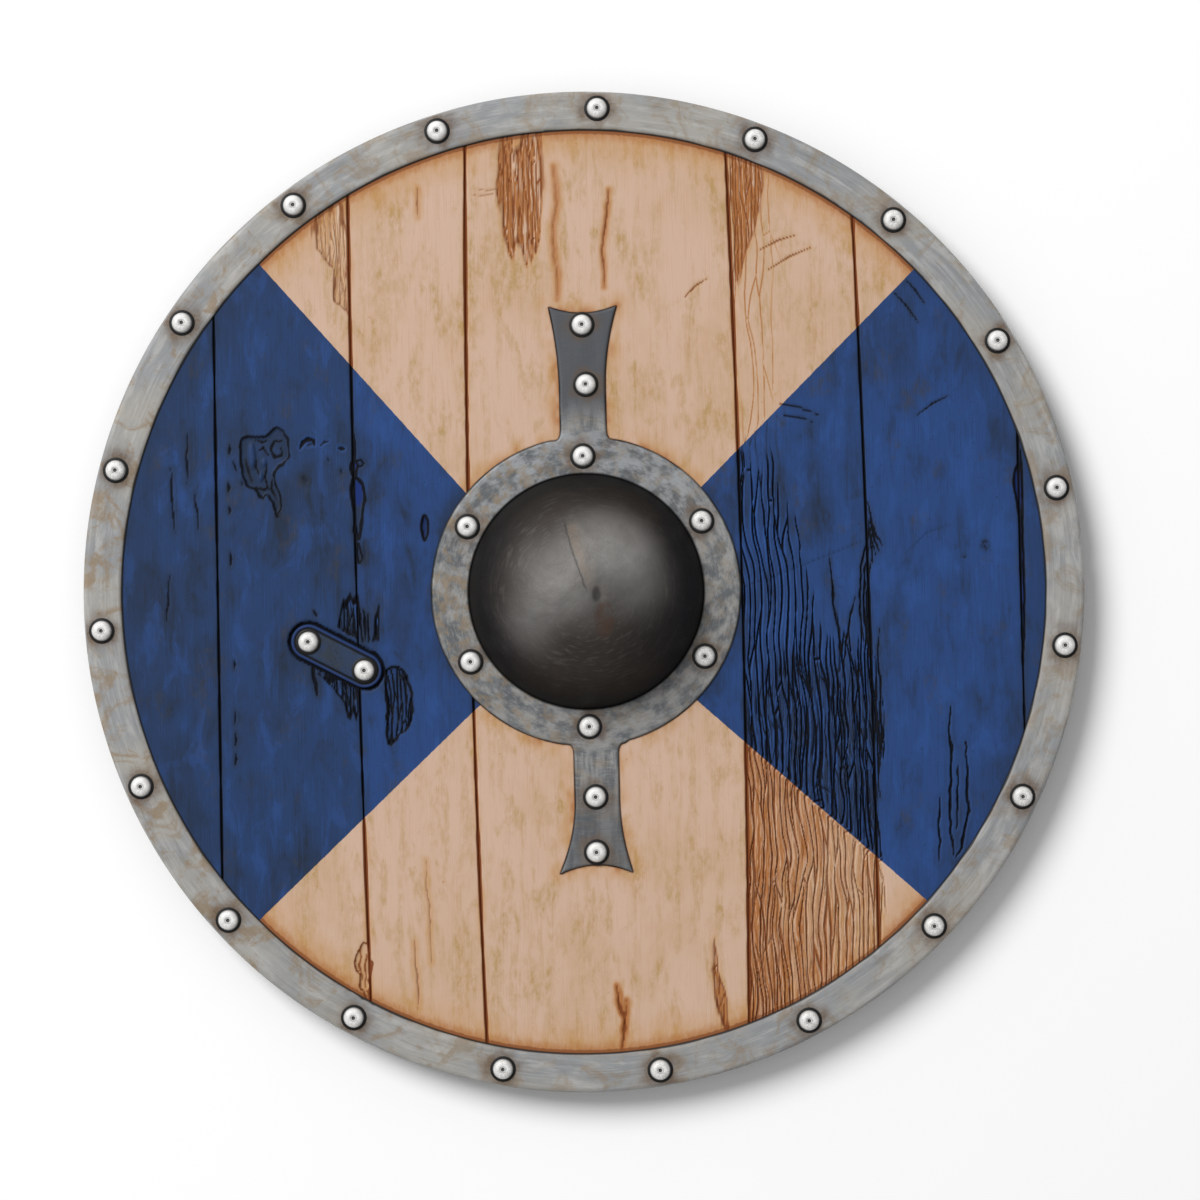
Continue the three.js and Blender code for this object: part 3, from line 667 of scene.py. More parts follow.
def carve_weathered_board(face):
    """The fifth plank's grain, opened into a net of long cracks with ridges left between them."""
    here = face.near(SEAMS[3][0], SEAMS[4][2] + 8, -340, 330)
    if not here.any():
        return
    x, y = face.x[here], face.y[here]
    right = x > seam_x(SEAMS[3], y)
    head = np.interp(x, [108, 118, 134, 150, 158, 166, 180, 197, 206], [92, 100, 84, 52, 8, -22, -30, -18, -60])
    head = head + 16 * noise(x / 3.4, 0.5, 91) + 6 * noise(x / 1.5, 0.5, 92)
    blue = ease(-3, 3, blue_reach(x, y))
    worn = ease(-8, 40, head - y) * ease(-318, -300, y + 9 * noise(x / 3, 0.5, 93))
    worn *= ease(207, 199, x + 4 * noise(x / 3, y / 28, 94)) * right
    thick = np.interp(x, [108, 114, 126, 196, 205], [-78, -70, -42, -36, -56]) + 12 * noise(x / 2.4, 0.5, 85)
    dense = blue * worn * ease(-4, 26, thick - y) * (0.78 + 0.22 * noise(x / 6, y / 22, 88))
    browner = (1 - blue) * np.interp(x, [108, 122, 150, 205], [1, 0.9, 0.6, 0.35])
    across = x + 3.2 * noise(x / 30, y / 48, 95) + 1.3 * noise(x / 8, y / 17, 96) + 0.03 * (y + 60) * blue
    coarse = bark(across, y, 4.6, 96, 97)
    middling = bark(across + 1.2 * noise(x / 12, y / 30, 84), y, 5.2, 70, 98)
    crack = ease(0.72 + 0.4 * dense, 0.3, coarse) * ease(0.02, 0.3, worn)
    second = ease(0.7 + 0.35 * dense, 0.3, middling) * np.maximum(dense, 0.75 * browner) * ease(0.3, 0.8, worn)
    second *= ease(-0.35, 0.2, noise(x / 5, y / 26, 87))
    cut = np.maximum(crack * (0.7 + 0.3 * np.maximum(blue, browner)), second)
    side = ease(0.6, 0.9, coarse) * ease(1.9, 1.3, coarse)
    face.raise_to(
        here,
        depth=cut * (0.8 + 0.8 * worn),
        soot=cut * (0.75 + 0.25 * blue),
        wash=worn * (0.34 + 0.5 * dense + 0.75 * browner + 0.25 * noise(x / 5, y / 26, 99)),
        # Painted highlight on the edges beside the cracks.
        rub=worn * 0.9 * side * (1 - 0.3 * dense) * (1 - 0.5 * browner),
        worn=worn * (0.35 + 0.5 * np.maximum(dense, browner)),
    )
    threads = ease(111, 115, x) * ease(150, 128, x + 6 * noise(x / 5, y / 30, 90)) * ease(62, 100, y) * right
    thin = ease(0.8, 0.35, bark(across, y, 6.5, 110, 86))
    face.raise_to(here, wash=0.8 * thin * threads, soot=0.28 * thin * threads)


def plate_outline(steps=96):
    """The ring and its two arms, as one outline that turns left."""
    def arm(neck_x, tip_x, neck, tip, waist_y, tip_y, hollow):
        out = math.copysign(1, tip_y)
        wide = neck + ARM_FILLET_HALF
        root = math.sqrt(PLATE_RADIUS ** 2 - wide ** 2) * out
        neck_y = root + ARM_FILLET_LENGTH * out
        flare = (waist_y + tip_y) / 2
        side = out
        one, two = neck_x + side * neck, neck_x - side * neck
        return np.vstack([
            bend((neck_x + side * wide, root), (one, root), (one, neck_y), 5),
            bend((one, neck_y), (one, (neck_y + waist_y) / 2), (one, waist_y), 10),
            bend((one, waist_y), (one, flare), (tip_x + side * tip, tip_y), 14),
            bend((tip_x + side * tip, tip_y), (tip_x, tip_y - 2 * hollow), (tip_x - side * tip, tip_y), 14),
            bend((tip_x - side * tip, tip_y), (two, flare), (two, waist_y), 14),
            bend((two, waist_y), (two, (neck_y + waist_y) / 2), (two, neck_y), 10),
            bend((two, neck_y), (two, root), (neck_x - side * wide, root), 5),
            [(neck_x - side * wide, root)],
        ])

    def arc(start, end):
        low = math.atan2(start[1] - BOSS[1], start[0] - BOSS[0])
        high = math.atan2(end[1] - BOSS[1], end[0] - BOSS[0])
        high += 2 * math.pi if high < low else 0
        turn = np.linspace(low, high, steps)[1:-1]
        return np.stack([BOSS[0] + PLATE_RADIUS * np.cos(turn), BOSS[1] + PLATE_RADIUS * np.sin(turn)], axis=1)

    upper, lower = (arm(**sizes) for sizes in ARMS)
    return np.vstack([upper, arc(upper[-1], lower[0]), lower, arc(lower[-1], upper[0])])


PLATE_OUTLINE = plate_outline()


def patch_reach(x, y):
    """Distance from the repair plate's middle line."""
    along, aside = patch_place(x, y)
    return np.hypot(np.clip(np.abs(along) - PATCH["spacing"] / 2, 0, None), aside)


def seat_ironwork(face):
    """A painted shade line and ochre grime round the boss plate, the rebate under its ring, and the bed of the repair
    plate with a painted shade line and a brown wash at its edge.
    """
    here = face.near(plate_low.x - 30, plate_high.x + 30, plate_low.y - 30, plate_high.y + 30)
    x, y = face.x[here], face.y[here]
    away = loop_distance(PLATE_OUTLINE, x, y)
    cloud = 0.5 + 0.45 * noise(x / 9, y / 13, 101) + 0.25 * noise(x / 3, y / 5, 102)
    # Painted shade: a thin dark line along the plate's outline; the wider cloud is grime.
    face.raise_to(here, soot=0.95 * np.exp(-(away / 1.2) ** 2), wash=0.85 * cloud * np.exp(-(away / 9) ** 2))
    out = np.hypot(face.x - BOSS[0], face.y - BOSS[1])
    face.depth = np.where(out < BRIM_RADIUS + 2.5, DOME_SHEET * ease(105.6, BRIM_RADIUS + FIT, out), face.depth)
    reach = patch_reach(face.x, face.y)
    bed = reach < PATCH_RECESS_HALF + 1.5
    floor = PATCH_RECESS_DEPTH * ease(PATCH_HALF + 2.9, PATCH_HALF + 1.6, reach)
    face.depth = np.where(bed, np.maximum(floor, np.where(reach > PATCH_HALF + 3, face.depth, 0)), face.depth)
    # Painted shade: a dark line at the edge of the repair plate's bed.
    joint_shade = ease(PATCH_HALF + 2.9, PATCH_HALF + 2.0, reach + 0.7 * noise(face.x / 3, face.y / 3, 103))
    face.soot = np.maximum(face.soot, joint_shade)
    face.wash = np.maximum(face.wash, 0.6 * np.exp(-((reach - PATCH_HALF) / 5) ** 2) * (reach > PATCH_HALF))


def carved_face(x, y):
    """Every cut, stain and rubbed ridge of the boards' face at the points of a grid."""
    face = Face(x, y)
    for carve in (carve_weathered_board, carve_seams, carve_head, carve_left, carve_second_seam,
                  carve_round_repair, carve_foot, carve_right, carve_scores):
        carve(face)
    under_rim = ease(RIM_INNER_RADIUS + 2, RIM_INNER_RADIUS - 2, np.hypot(x, y))
    face.depth *= under_rim
    seat_ironwork(face)
    return face


# ---- Planks ---------------------------------------------------------------------------------

def columns(width, step):
    """Distances across a plank, closer together beside its seams."""
    edge = np.array([0, 0.35, 0.75, 1.2, 1.8])
    count = max(int(round((width - 3.6) / step)), 2)
    middle = np.linspace(1.8, width - 1.8, count + 1)[1:-1]
    return np.concatenate([edge, middle, (width - edge)[::-1]]) / width


def plank_grid(index, across_step, along_step):
    """The x and y of a grid that follows a plank's two seams and the round edge."""
    inset = BOARD_RADIUS - 0.15

    def left(y):
        return np.full(np.shape(y), -inset) if index == 0 else seam_x(SEAMS[index - 1], y) + FIT / 2

    def right(y):
        return np.full(np.shape(y), inset) if index == len(SEAMS) else seam_x(SEAMS[index], y) - FIT / 2

    low, high = span(f"plank_{index + 1}")
    share = columns(high.x - low.x, across_step)
    rows = int(round((high.y - low.y) / along_step))
    u, v = np.meshgrid(share, np.linspace(-1, 1, rows))
    y = v * (high.y - low.y) / 2
    for _ in range(8):
        x = left(y) + (right(y) - left(y)) * u
        y = v * np.sqrt(np.clip(BOARD_RADIUS ** 2 - x ** 2, 1, None))
    return x, y


def grid_faces(shape):
    rows, count = shape
    corner = np.arange(rows * count).reshape(rows, count)
    return np.stack([
        corner[:-1, :-1].ravel(), corner[:-1, 1:].ravel(), corner[1:, 1:].ravel(), corner[1:, :-1].ravel(),
    ], axis=1)


def open_hole(x, y, quads):
    """Drops the cells in the hand hole and draws the torn edge out to a true circle."""
    out = np.hypot(x - BOSS[0], y - BOSS[1])
    inner = out[quads].mean(axis=1) < HAND_HOLE_RADIUS
    if not inner.any():
        return quads, None
    kept = quads[~inner]
    used = {}
    for a, b, c, d in kept[(out[kept] < HAND_HOLE_RADIUS + 6).any(axis=1)]:
        for edge in ((a, b), (b, c), (c, d), (d, a)):
            used[edge] = True
    follow = {b: a for a, b in used if (b, a) not in used and out[a] < HAND_HOLE_RADIUS + 3 > 0
              and out[b] < HAND_HOLE_RADIUS + 3}
    start = next(iter(follow))
    loop = [start]
    while follow[loop[-1]] != start:
        loop.append(follow[loop[-1]])
    loop = np.array(loop)[::-1]
    turn = np.unwrap(np.arctan2(y[loop] - BOSS[1], x[loop] - BOSS[0]))
    for _ in range(12):
        full = 2 * math.pi * np.sign(turn[-1] - turn[0])
        before = np.concatenate([[turn[-1] - full], turn[:-1]])
        after = np.concatenate([turn[1:], [turn[0] + full]])
        turn = (before + 2 * turn + after) / 4
    x[loop] = BOSS[0] + HAND_HOLE_RADIUS * np.cos(turn)
    y[loop] = BOSS[1] + HAND_HOLE_RADIUS * np.sin(turn)
    return kept, loop


def edge_loop(shape):
    """The grid's outer corners, turning left."""
    rows, count = shape
    corner = np.arange(rows * count).reshape(rows, count)
    return np.concatenate([corner[0, :-1], corner[:-1, -1], corner[-1, :0:-1], corner[:0:-1, 0]])


def plank(index, across_step, along_step, tone):
    """A plank: its carved face, its sides, and a flat back with an eased edge."""
    grid_x, grid_y = plank_grid(index, across_step, along_step)
    x, y = grid_x.ravel().copy(), grid_y.ravel().copy()
    face = carved_face(x, y)
    quads, hole = open_hole(x, y, grid_faces(grid_x.shape))
    top = np.column_stack([x, y, FACE - np.clip(face.depth, 0, 3)])
    points = [top]
    faces = [quads]
    fields = {label: [getattr(face, label)] for label in ("soot", "wash", "rub", "fresh", "worn")}
    count = len(top)
    loops = [edge_loop(grid_x.shape)] + ([hole[::-1]] if hole is not None else [])
    flats = []
    for loop in loops:
        ring = np.column_stack([x[loop], y[loop]])
        inner = moved_in(ring, 0.7)
        size = len(ring)
        points += [
            np.column_stack([ring, np.full(size, BACK + 0.8)]),
            np.column_stack([inner, np.full(size, BACK)]),
        ]
        ahead = np.roll(np.arange(size), -1)
        upper, middle, lower = loop, count + np.arange(size), count + size + np.arange(size)
        faces += [
            np.stack([upper, middle, middle[ahead], upper[ahead]], axis=1),
            np.stack([middle, lower, lower[ahead], middle[ahead]], axis=1),
        ]
        flats.append(inner)
        count += 2 * size
    flat, triangles = fill(flats)
    points.append(np.column_stack([flat, np.full(len(flat), BACK)]))
    triangles = triangles[:, ::-1] + count
    count += len(flat)
    for label in fields:
        fields[label] = np.concatenate([fields[label][0], np.zeros(count - len(top))])
    fields["tone"] = np.full(count, tone)
    every = [tuple(f) for part in faces for f in part.tolist()] + [tuple(t) for t in triangles.tolist()]
    return piece(f"board_{index + 1}", np.vstack(points), every, fields, crease=62)


# ---- Materials ------------------------------------------------------------------------------

def paint(red, green, blue):
    """A colour from its screen values, 0 to 255."""
    shares = [v / 255 for v in (red, green, blue)]
    return (*[v / 12.92 if v <= 0.04045 else ((v + 0.055) / 1.055) ** 2.4 for v in shares], 1.0)


class Wire:
    """One socket of a finish, with the operators that its maths uses."""

    def __init__(self, finish, socket):
        self.finish = finish
        self.socket = socket

    def maths(self, operation, *values):
        return self.finish.node("ShaderNodeMath", {"operation": operation}, dict(enumerate(values)))

    def __add__(self, other):
        return self.maths("ADD", self, other)

    def __radd__(self, other):
        return self.maths("ADD", other, self)

    def __sub__(self, other):
        return self.maths("SUBTRACT", self, other)

    def __rsub__(self, other):
        return self.maths("SUBTRACT", other, self)

    def __mul__(self, other):
        return self.maths("MULTIPLY", self, other)

    def __rmul__(self, other):
        return self.maths("MULTIPLY", other, self)

    def __truediv__(self, other):
        return self.maths("DIVIDE", self, other)

    def __pow__(self, other):
        return self.maths("POWER", self, other)

    def least(self, other):
        return self.maths("MINIMUM", self, other)

    def most(self, other):
        return self.maths("MAXIMUM", self, other)

    def size(self):
        return self.maths("ABSOLUTE", self)

    def ease(self, low, high):
        """0 at low, 1 at high, smooth between."""
        return self.finish.node(
            "ShaderNodeMapRange", {"interpolation_type": "SMOOTHSTEP"},
            {"Value": self, "From Min": low, "From Max": high},
        )


class Finish:
    """A material being made."""

    def __init__(self, name):
        self.material = bpy.data.materials.new(name)
        self.material.use_nodes = True
        self.tree = self.material.node_tree
        self.tree.nodes.clear()
        where = self.node("ShaderNodeTexCoord", output="Object")
        self.place = self.node("ShaderNodeVectorMath", {"operation": "SCALE"}, {0: where, "Scale": MM})
        parts = self.node("ShaderNodeSeparateXYZ", inputs={0: self.place}).socket.node
        self.x, self.y, self.z = (Wire(self, socket) for socket in parts.outputs)

    def node(self, kind, settings=None, inputs=None, output=0):
        made = self.tree.nodes.new(kind)
        for label, value in (settings or {}).items():
            setattr(made, label, value)
        for key, value in (inputs or {}).items():
            if isinstance(value, Wire):
                self.tree.links.new(value.socket, made.inputs[key])
            else:
                made.inputs[key].default_value = value
        return Wire(self, made.outputs[output])

    def mix(self, share, first, second):
        """The first colour, turning into the second by a share."""
        return self.node(
            "ShaderNodeMix", {"data_type": "RGBA", "clamp_factor": True},
            {"Factor": share, 6: first, 7: second}, output=2,
        )

    def grain(self, sizes, seed=0, detail=3.0, roughness=0.55, place=None, twist=0.0):
        """Cloudy noise from 0 to 1 whose lumps are as long in x, y and z as the sizes, in millimetres."""
        where = self.node(
            "ShaderNodeMapping", {"vector_type": "POINT"},
            {"Vector": place or self.place, "Location": (seed * 7.3, seed * 3.1, seed * 5.7),
             "Scale": tuple(1 / size for size in sizes)},
        )
        return self.node(
            "ShaderNodeTexNoise", {"noise_dimensions": "3D"},
            {"Vector": where, "Scale": 1.0, "Detail": detail, "Roughness": roughness, "Distortion": twist},
        )

    def round_place(self, centre=(0, 0)):
        """Place as the way round a centre and the distance out, so that grain can follow a ring."""
        x, y = self.x - centre[0], self.y - centre[1]
        out = (x * x + y * y) ** 0.5
        across, along = x / out.most(1), y / out.most(1)
        return out, self.node("ShaderNodeCombineXYZ", inputs={"X": across * 330, "Y": along * 330, "Z": out})

    def strands(self, width, seed):
        """How far a point is from long wavering fibres of this spacing; 0 on a fibre, about a half between."""
        wander = self.grain((14, 46, 20), seed, detail=2) * 12 + self.grain((4, 14, 10), seed + 1, detail=2) * 2.5
        return self.node(
            "ShaderNodeTexVoronoi", {"feature": "DISTANCE_TO_EDGE", "voronoi_dimensions": "1D"},
            {"W": (self.x + wander) / width, "Scale": 1.0, "Randomness": 1.0},
        )

    def field(self, name):
        """The numbers that a mesh carries under this name."""
        return self.node("ShaderNodeAttribute", {"attribute_name": name}, output="Fac")

    def done(self, colour, roughness, metallic, height=None, strength=1.0, **others):
        """Ends in a surface; height is in millimetres."""
        inputs = {"Base Color": colour, "Roughness": roughness, "Metallic": metallic, **others}
        if height is not None:
            inputs["Normal"] = self.node(
                "ShaderNodeBump", inputs={"Height": height, "Strength": strength, "Distance": 1 / MM},
            )
        surface = self.node("ShaderNodeBsdfPrincipled", inputs=inputs)
        self.node_out(surface)
        return self.material

    def node_out(self, surface):
        out = self.tree.nodes.new("ShaderNodeOutputMaterial")
        self.tree.links.new(surface.socket, out.inputs["Surface"])


CREAM = paint(203, 172, 151)
# Lighter cream for painted highlight on ridges and crack edges.
CREAM_HIGHLIGHT = paint(212, 184, 160)
OCHRE = paint(188, 142, 90)
OLIVE = paint(176, 144, 98)
BROWN = paint(168, 108, 60)
BURNT = paint(118, 62, 30)
BLUE = paint(40, 70, 124)
BLUE_DULL = paint(36, 58, 96)
# Lighter blue for worn blotches and for painted highlight on ridges and crack edges.
BLUE_WORN_AND_HIGHLIGHT = paint(46, 82, 146)
BLUE_FRESH = paint(22, 44, 106)
BLUE_DUSTY = paint(58, 60, 66)
DUSK = paint(34, 42, 54)
INK = paint(9, 13, 22)
BARE_WOOD = paint(128, 95, 63)
BARE_WOOD_DARK = paint(84, 58, 36)


def wood_colour(finish, seed):
    """Oiled bare wood with its grain along x."""
    streak = finish.grain((150, 5, 5), seed, detail=5)
    pores = finish.grain((40, 0.9, 0.9), seed + 1, detail=2)
    colour = finish.mix(streak.ease(0.32, 0.7), BARE_WOOD_DARK, BARE_WOOD)
    return finish.mix(pores.ease(0.56, 0.72) * 0.45, colour, BARE_WOOD_DARK), pores, streak


def board_finish():
    """Cream and blue quarters of worn paint, scorched cuts, and bare wood on the sides and back."""
    finish = Finish("board_paint")
    x, y, z = finish.x, finish.y, finish.z
    soot, wash, rub, fresh = (finish.field(name) for name in ("soot", "wash", "rub", "fresh"))
    worn, tone = finish.field("worn"), finish.field("tone")
    waver = finish.grain((3, 5, 5), 1)
    left = (-22.7 - x * 1.1622 - y).least(y + 8.0 - x * 0.9291)
    right = (x * 0.9743 - 10.0 - y).least(y + 7.2 + x * 0.9136)
    in_blue = (left.most(right) + (waver - 0.5) * 1.2).ease(-0.35, 0.35)
    out = (x * x + y * y) ** 0.5

    streak = finish.grain((10, 100, 60), 2, detail=6, roughness=0.62, twist=0.4)
    cloud = finish.grain((50, 90, 60), 3, detail=4)
    thread = finish.grain((0.9, 34, 20), 4, detail=3)
    smudge = finish.grain((15, 38, 20), 5, detail=5, roughness=0.6, twist=0.4)
    sponge = finish.grain((4, 10, 6), 8, detail=5, roughness=0.7)
    speck = finish.grain((1.5, 2.3, 2), 9, detail=2)
    fibre = finish.strands(2.6, 1)
    hair = finish.strands(1.5, 12)
    broken = finish.grain((4, 24, 10), 14, detail=3)
    lines = (fibre.ease(0.2, 0.06) * broken.ease(0.42, 0.56)).most(hair.ease(0.2, 0.06) * broken.ease(0.56, 0.44) * 0.6)
    lines = lines * worn.ease(0.2, 0.8)
    crests = fibre.ease(0.3, 0.5) * hair.ease(0.2, 0.4) * worn
    # The fibre crests get painted highlight.
    soot, rub = soot.most(lines * (0.5 + 0.35 * in_blue)), rub.most(crests * 0.8)
    spot = finish.grain((4.2, 5.5, 5), 7, detail=3)
    spread = finish.grain((20, 30, 20), 10, detail=4)
    near_rim = (out + (smudge - 0.5) * 40).ease(292, 326)
    # Painted shadow and grime: a dark line on the boards just under the rim's inner edge.
    rim_shadow_and_grime = out.ease(321.9, 322.7)

    wiped = streak.ease(0.46, 0.64) * 0.55 + smudge.ease(0.5, 0.66) * 0.75 + cloud.ease(0.5, 0.7) * 0.3
    wiped = wiped * sponge.ease(0.3, 0.68)
    cream = finish.mix(cloud.ease(0.4, 0.62), CREAM, paint(199, 167, 142))
    cream = finish.mix(wiped, cream, OLIVE)
    cream = finish.mix(near_rim * (0.25 + sponge * 0.9), cream, OCHRE)
    cream = finish.mix((out + (sponge - 0.5) * 9).ease(313, 321) * 0.7, cream, BROWN)
    cream = finish.mix(spot.ease(0.72, 0.79) * 0.7, cream, BROWN)
    cream = finish.mix(thread.ease(0.52, 0.8) * 0.22 + speck.ease(0.7, 0.8) * 0.4, cream, BROWN)
    cream = finish.mix(wash.ease(0, 0.5) * (0.25 + sponge * 0.5), cream, OCHRE)
    cream = finish.mix(wash.ease(0.35, 1) * (0.75 + sponge * 0.4), cream, BROWN)
    # Painted highlight on ridges and crack edges.
    cream = finish.mix(rub * 0.9, cream, CREAM_HIGHLIGHT)
    cream = finish.mix(soot.ease(0.05, 0.95), cream, BURNT)
    cream = finish.mix((out + (waver - 0.5) * 2).ease(319.6, 320.8) * 0.7, cream, BURNT)
    # Painted shadow and grime under the rim's edge.
    cream = finish.mix(rim_shadow_and_grime * 0.92, cream, paint(50, 30, 20))

    dusky = cloud.ease(0.5, 0.68) * 0.55 + smudge.ease(0.52, 0.7) * 0.5 + streak.ease(0.52, 0.7) * 0.35
    blue = finish.mix(tone, BLUE_DULL, BLUE)
    blue = finish.mix(dusky * (0.3 + sponge * 1.1), blue, DUSK)
    blue = finish.mix(spread.ease(0.56, 0.7) * sponge.ease(0.35, 0.65) * 0.6, blue, BLUE_DUSTY)
    blue = finish.mix(smudge.ease(0.48, 0.34) * 0.35 + thread.ease(0.44, 0.25) * 0.25, blue, BLUE_WORN_AND_HIGHLIGHT)
    blue = finish.mix(thread.ease(0.52, 0.75) * 0.3 + speck.ease(0.64, 0.78) * 0.6, blue, DUSK)
    blue = finish.mix(near_rim * 0.3 + wash * (0.6 + sponge * 0.5), blue, DUSK)
    # Painted highlight on ridges and crack edges.
    blue = finish.mix(rub * 0.85, blue, BLUE_WORN_AND_HIGHLIGHT)
    blue = finish.mix(fresh, blue, BLUE_FRESH)
    blue = finish.mix(soot.ease(0.08, 0.85), blue, INK)
    # Painted shadow and grime under the rim's edge.
    blue = finish.mix(rim_shadow_and_grime * 0.95, blue, INK)

    bare, pores, _ = wood_colour(finish, 6)
    painted = z.ease(BACK + 6.6, BACK + 7.3)
    colour = finish.mix(painted, bare, finish.mix(in_blue, cream, blue))
    rough = 0.55 + smudge * 0.16 - in_blue * 0.05 + soot * 0.2
    height = thread * 0.16 + sponge * 0.1 - pores * 0.05 - lines * 0.35
    return finish.done(colour, rough, 0.0, height, 0.7, **{"Specular IOR Level": 0.14})


IRON = paint(162, 159, 153)
IRON_LIGHT = paint(182, 181, 178)
IRON_BLUE = paint(143, 145, 147)
IRON_DARK = paint(112, 113, 114)
STAIN = paint(140, 120, 94)
RUST = paint(104, 84, 66)
# Black for painted shade, and for grime where it mixes with shade.
SHADE_AND_GRIME_BLACK = paint(10, 9, 9)


def rim_finish():
    """Brushed grey strip with tan clouds, grime round its rivets and inner edge, and painted shade along its edges and
    down its outer side.
    """
    finish = Finish("rim_iron")
    grime, edge = finish.field("grime"), finish.field("edge")
    out, round_about = finish.round_place()
    patches = finish.grain((60, 60, 30), 11, detail=4, roughness=0.55)
    tan = finish.grain((22, 22, 22), 12, detail=6, roughness=0.68, twist=0.8)
    brush = finish.grain((34, 34, 1.4), 13, detail=4, place=round_about)
    wipe = finish.grain((30, 30, 7), 15, detail=5, place=round_about, twist=0.4)
    scratch = finish.grain((5, 5, 0.7), 16, detail=3, place=round_about)
    speck = finish.grain((2.0, 2.0, 2.0), 14, detail=4)
    colour = finish.mix(patches.ease(0.4, 0.62), IRON_BLUE, IRON)
    colour = finish.mix(wipe.ease(0.48, 0.68) * 0.6, colour, IRON_LIGHT)
    colour = finish.mix(brush.ease(0.48, 0.72) * 0.4, colour, IRON_LIGHT)
    colour = finish.mix(brush.ease(0.44, 0.26) * 0.35 + scratch.ease(0.6, 0.72) * 0.3, colour, IRON_DARK)
    colour = finish.mix(wipe.ease(0.42, 0.26) * 0.35, colour, IRON_DARK)
    tanned = tan.ease(0.48, 0.64) * (0.4 + speck * 0.6) * (0.75 + finish.x.ease(-60, -300) * 0.35)
    colour = finish.mix(tanned, colour, STAIN)
    colour = finish.mix(grime * (0.3 + speck * 0.9), colour, RUST)
    # Painted shade along the rim's edges.
    colour = finish.mix(edge * 0.9, colour, SHADE_AND_GRIME_BLACK)
    # Painted shade: the rim darkens down its rolled outer edge and outer side, which also keeps it from lighting the
    # floor shadow beside it.
    colour = finish.mix(finish.z.ease(RIM_TOP - 1.6, RIM_TOP - 3.4) * 0.85, colour, paint(58, 58, 60))
    rough = 0.5 + brush * 0.2 + grime * 0.2
    height = brush * 0.12 + speck * 0.08 + wipe * 0.1 - scratch * 0.1
    return finish.done(colour, rough, 0.18, height, 0.7, **{"Specular IOR Level": 0.3})


def plate_finish():
    """Dull steel-blue plate brushed round the dome and along its arms, with tan stains."""
    finish = Finish("plate_iron")
    grime, edge = finish.field("grime"), finish.field("edge")
    out, round_about = finish.round_place(BOSS)
    arms = out.ease(108, 116)
    swirl = finish.grain((46, 46, 9), 21, detail=5, roughness=0.6, place=round_about)
    stroke = finish.grain((7, 40, 20), 25, detail=5, roughness=0.6)
    patches = swirl * (1 - arms) + stroke * arms
    tan = finish.grain((30, 30, 8), 22, detail=6, roughness=0.65, place=round_about)
    brush = finish.grain((16, 16, 1.3), 23, detail=4, place=round_about)
    speck = finish.grain((1.8, 1.8, 1.8), 24, detail=4)
    colour = finish.mix(patches.ease(0.38, 0.64), paint(98, 101, 104), paint(150, 149, 147))
    colour = finish.mix(finish.y.ease(20, 92) * (1 - arms) * swirl.ease(0.4, 0.6) * 0.5, colour, paint(150, 156, 164))
    colour = finish.mix(brush.ease(0.52, 0.7) * 0.35, colour, paint(164, 165, 164))
    colour = finish.mix(brush.ease(0.46, 0.3) * 0.35, colour, paint(78, 81, 86))
    tanned = tan.ease(0.48, 0.62) * (0.4 + speck * 0.6) * (0.45 + finish.x.ease(20, -60) * 0.5)
    colour = finish.mix(tanned, colour, paint(142, 124, 100))
    darker = finish.y.ease(-118, -170) * 0.6 + finish.y.ease(108, 140) * 0.95
    colour = finish.mix(darker + finish.y.ease(-20, -100) * (1 - arms) * 0.12, colour, paint(78, 81, 86))
    colour = finish.mix(grime * (0.2 + speck * 0.8), colour, RUST)
    # Painted shade: black along the plate's sloping edge and where it meets the dome.
    colour = finish.mix(edge * 0.95, colour, SHADE_AND_GRIME_BLACK)
    rough = 0.5 + brush * 0.18 + grime * 0.2
    height = brush * 0.14 + speck * 0.1 + patches * 0.2
    return finish.done(colour, rough, 0.2, height, 0.7, **{"Specular IOR Level": 0.3})


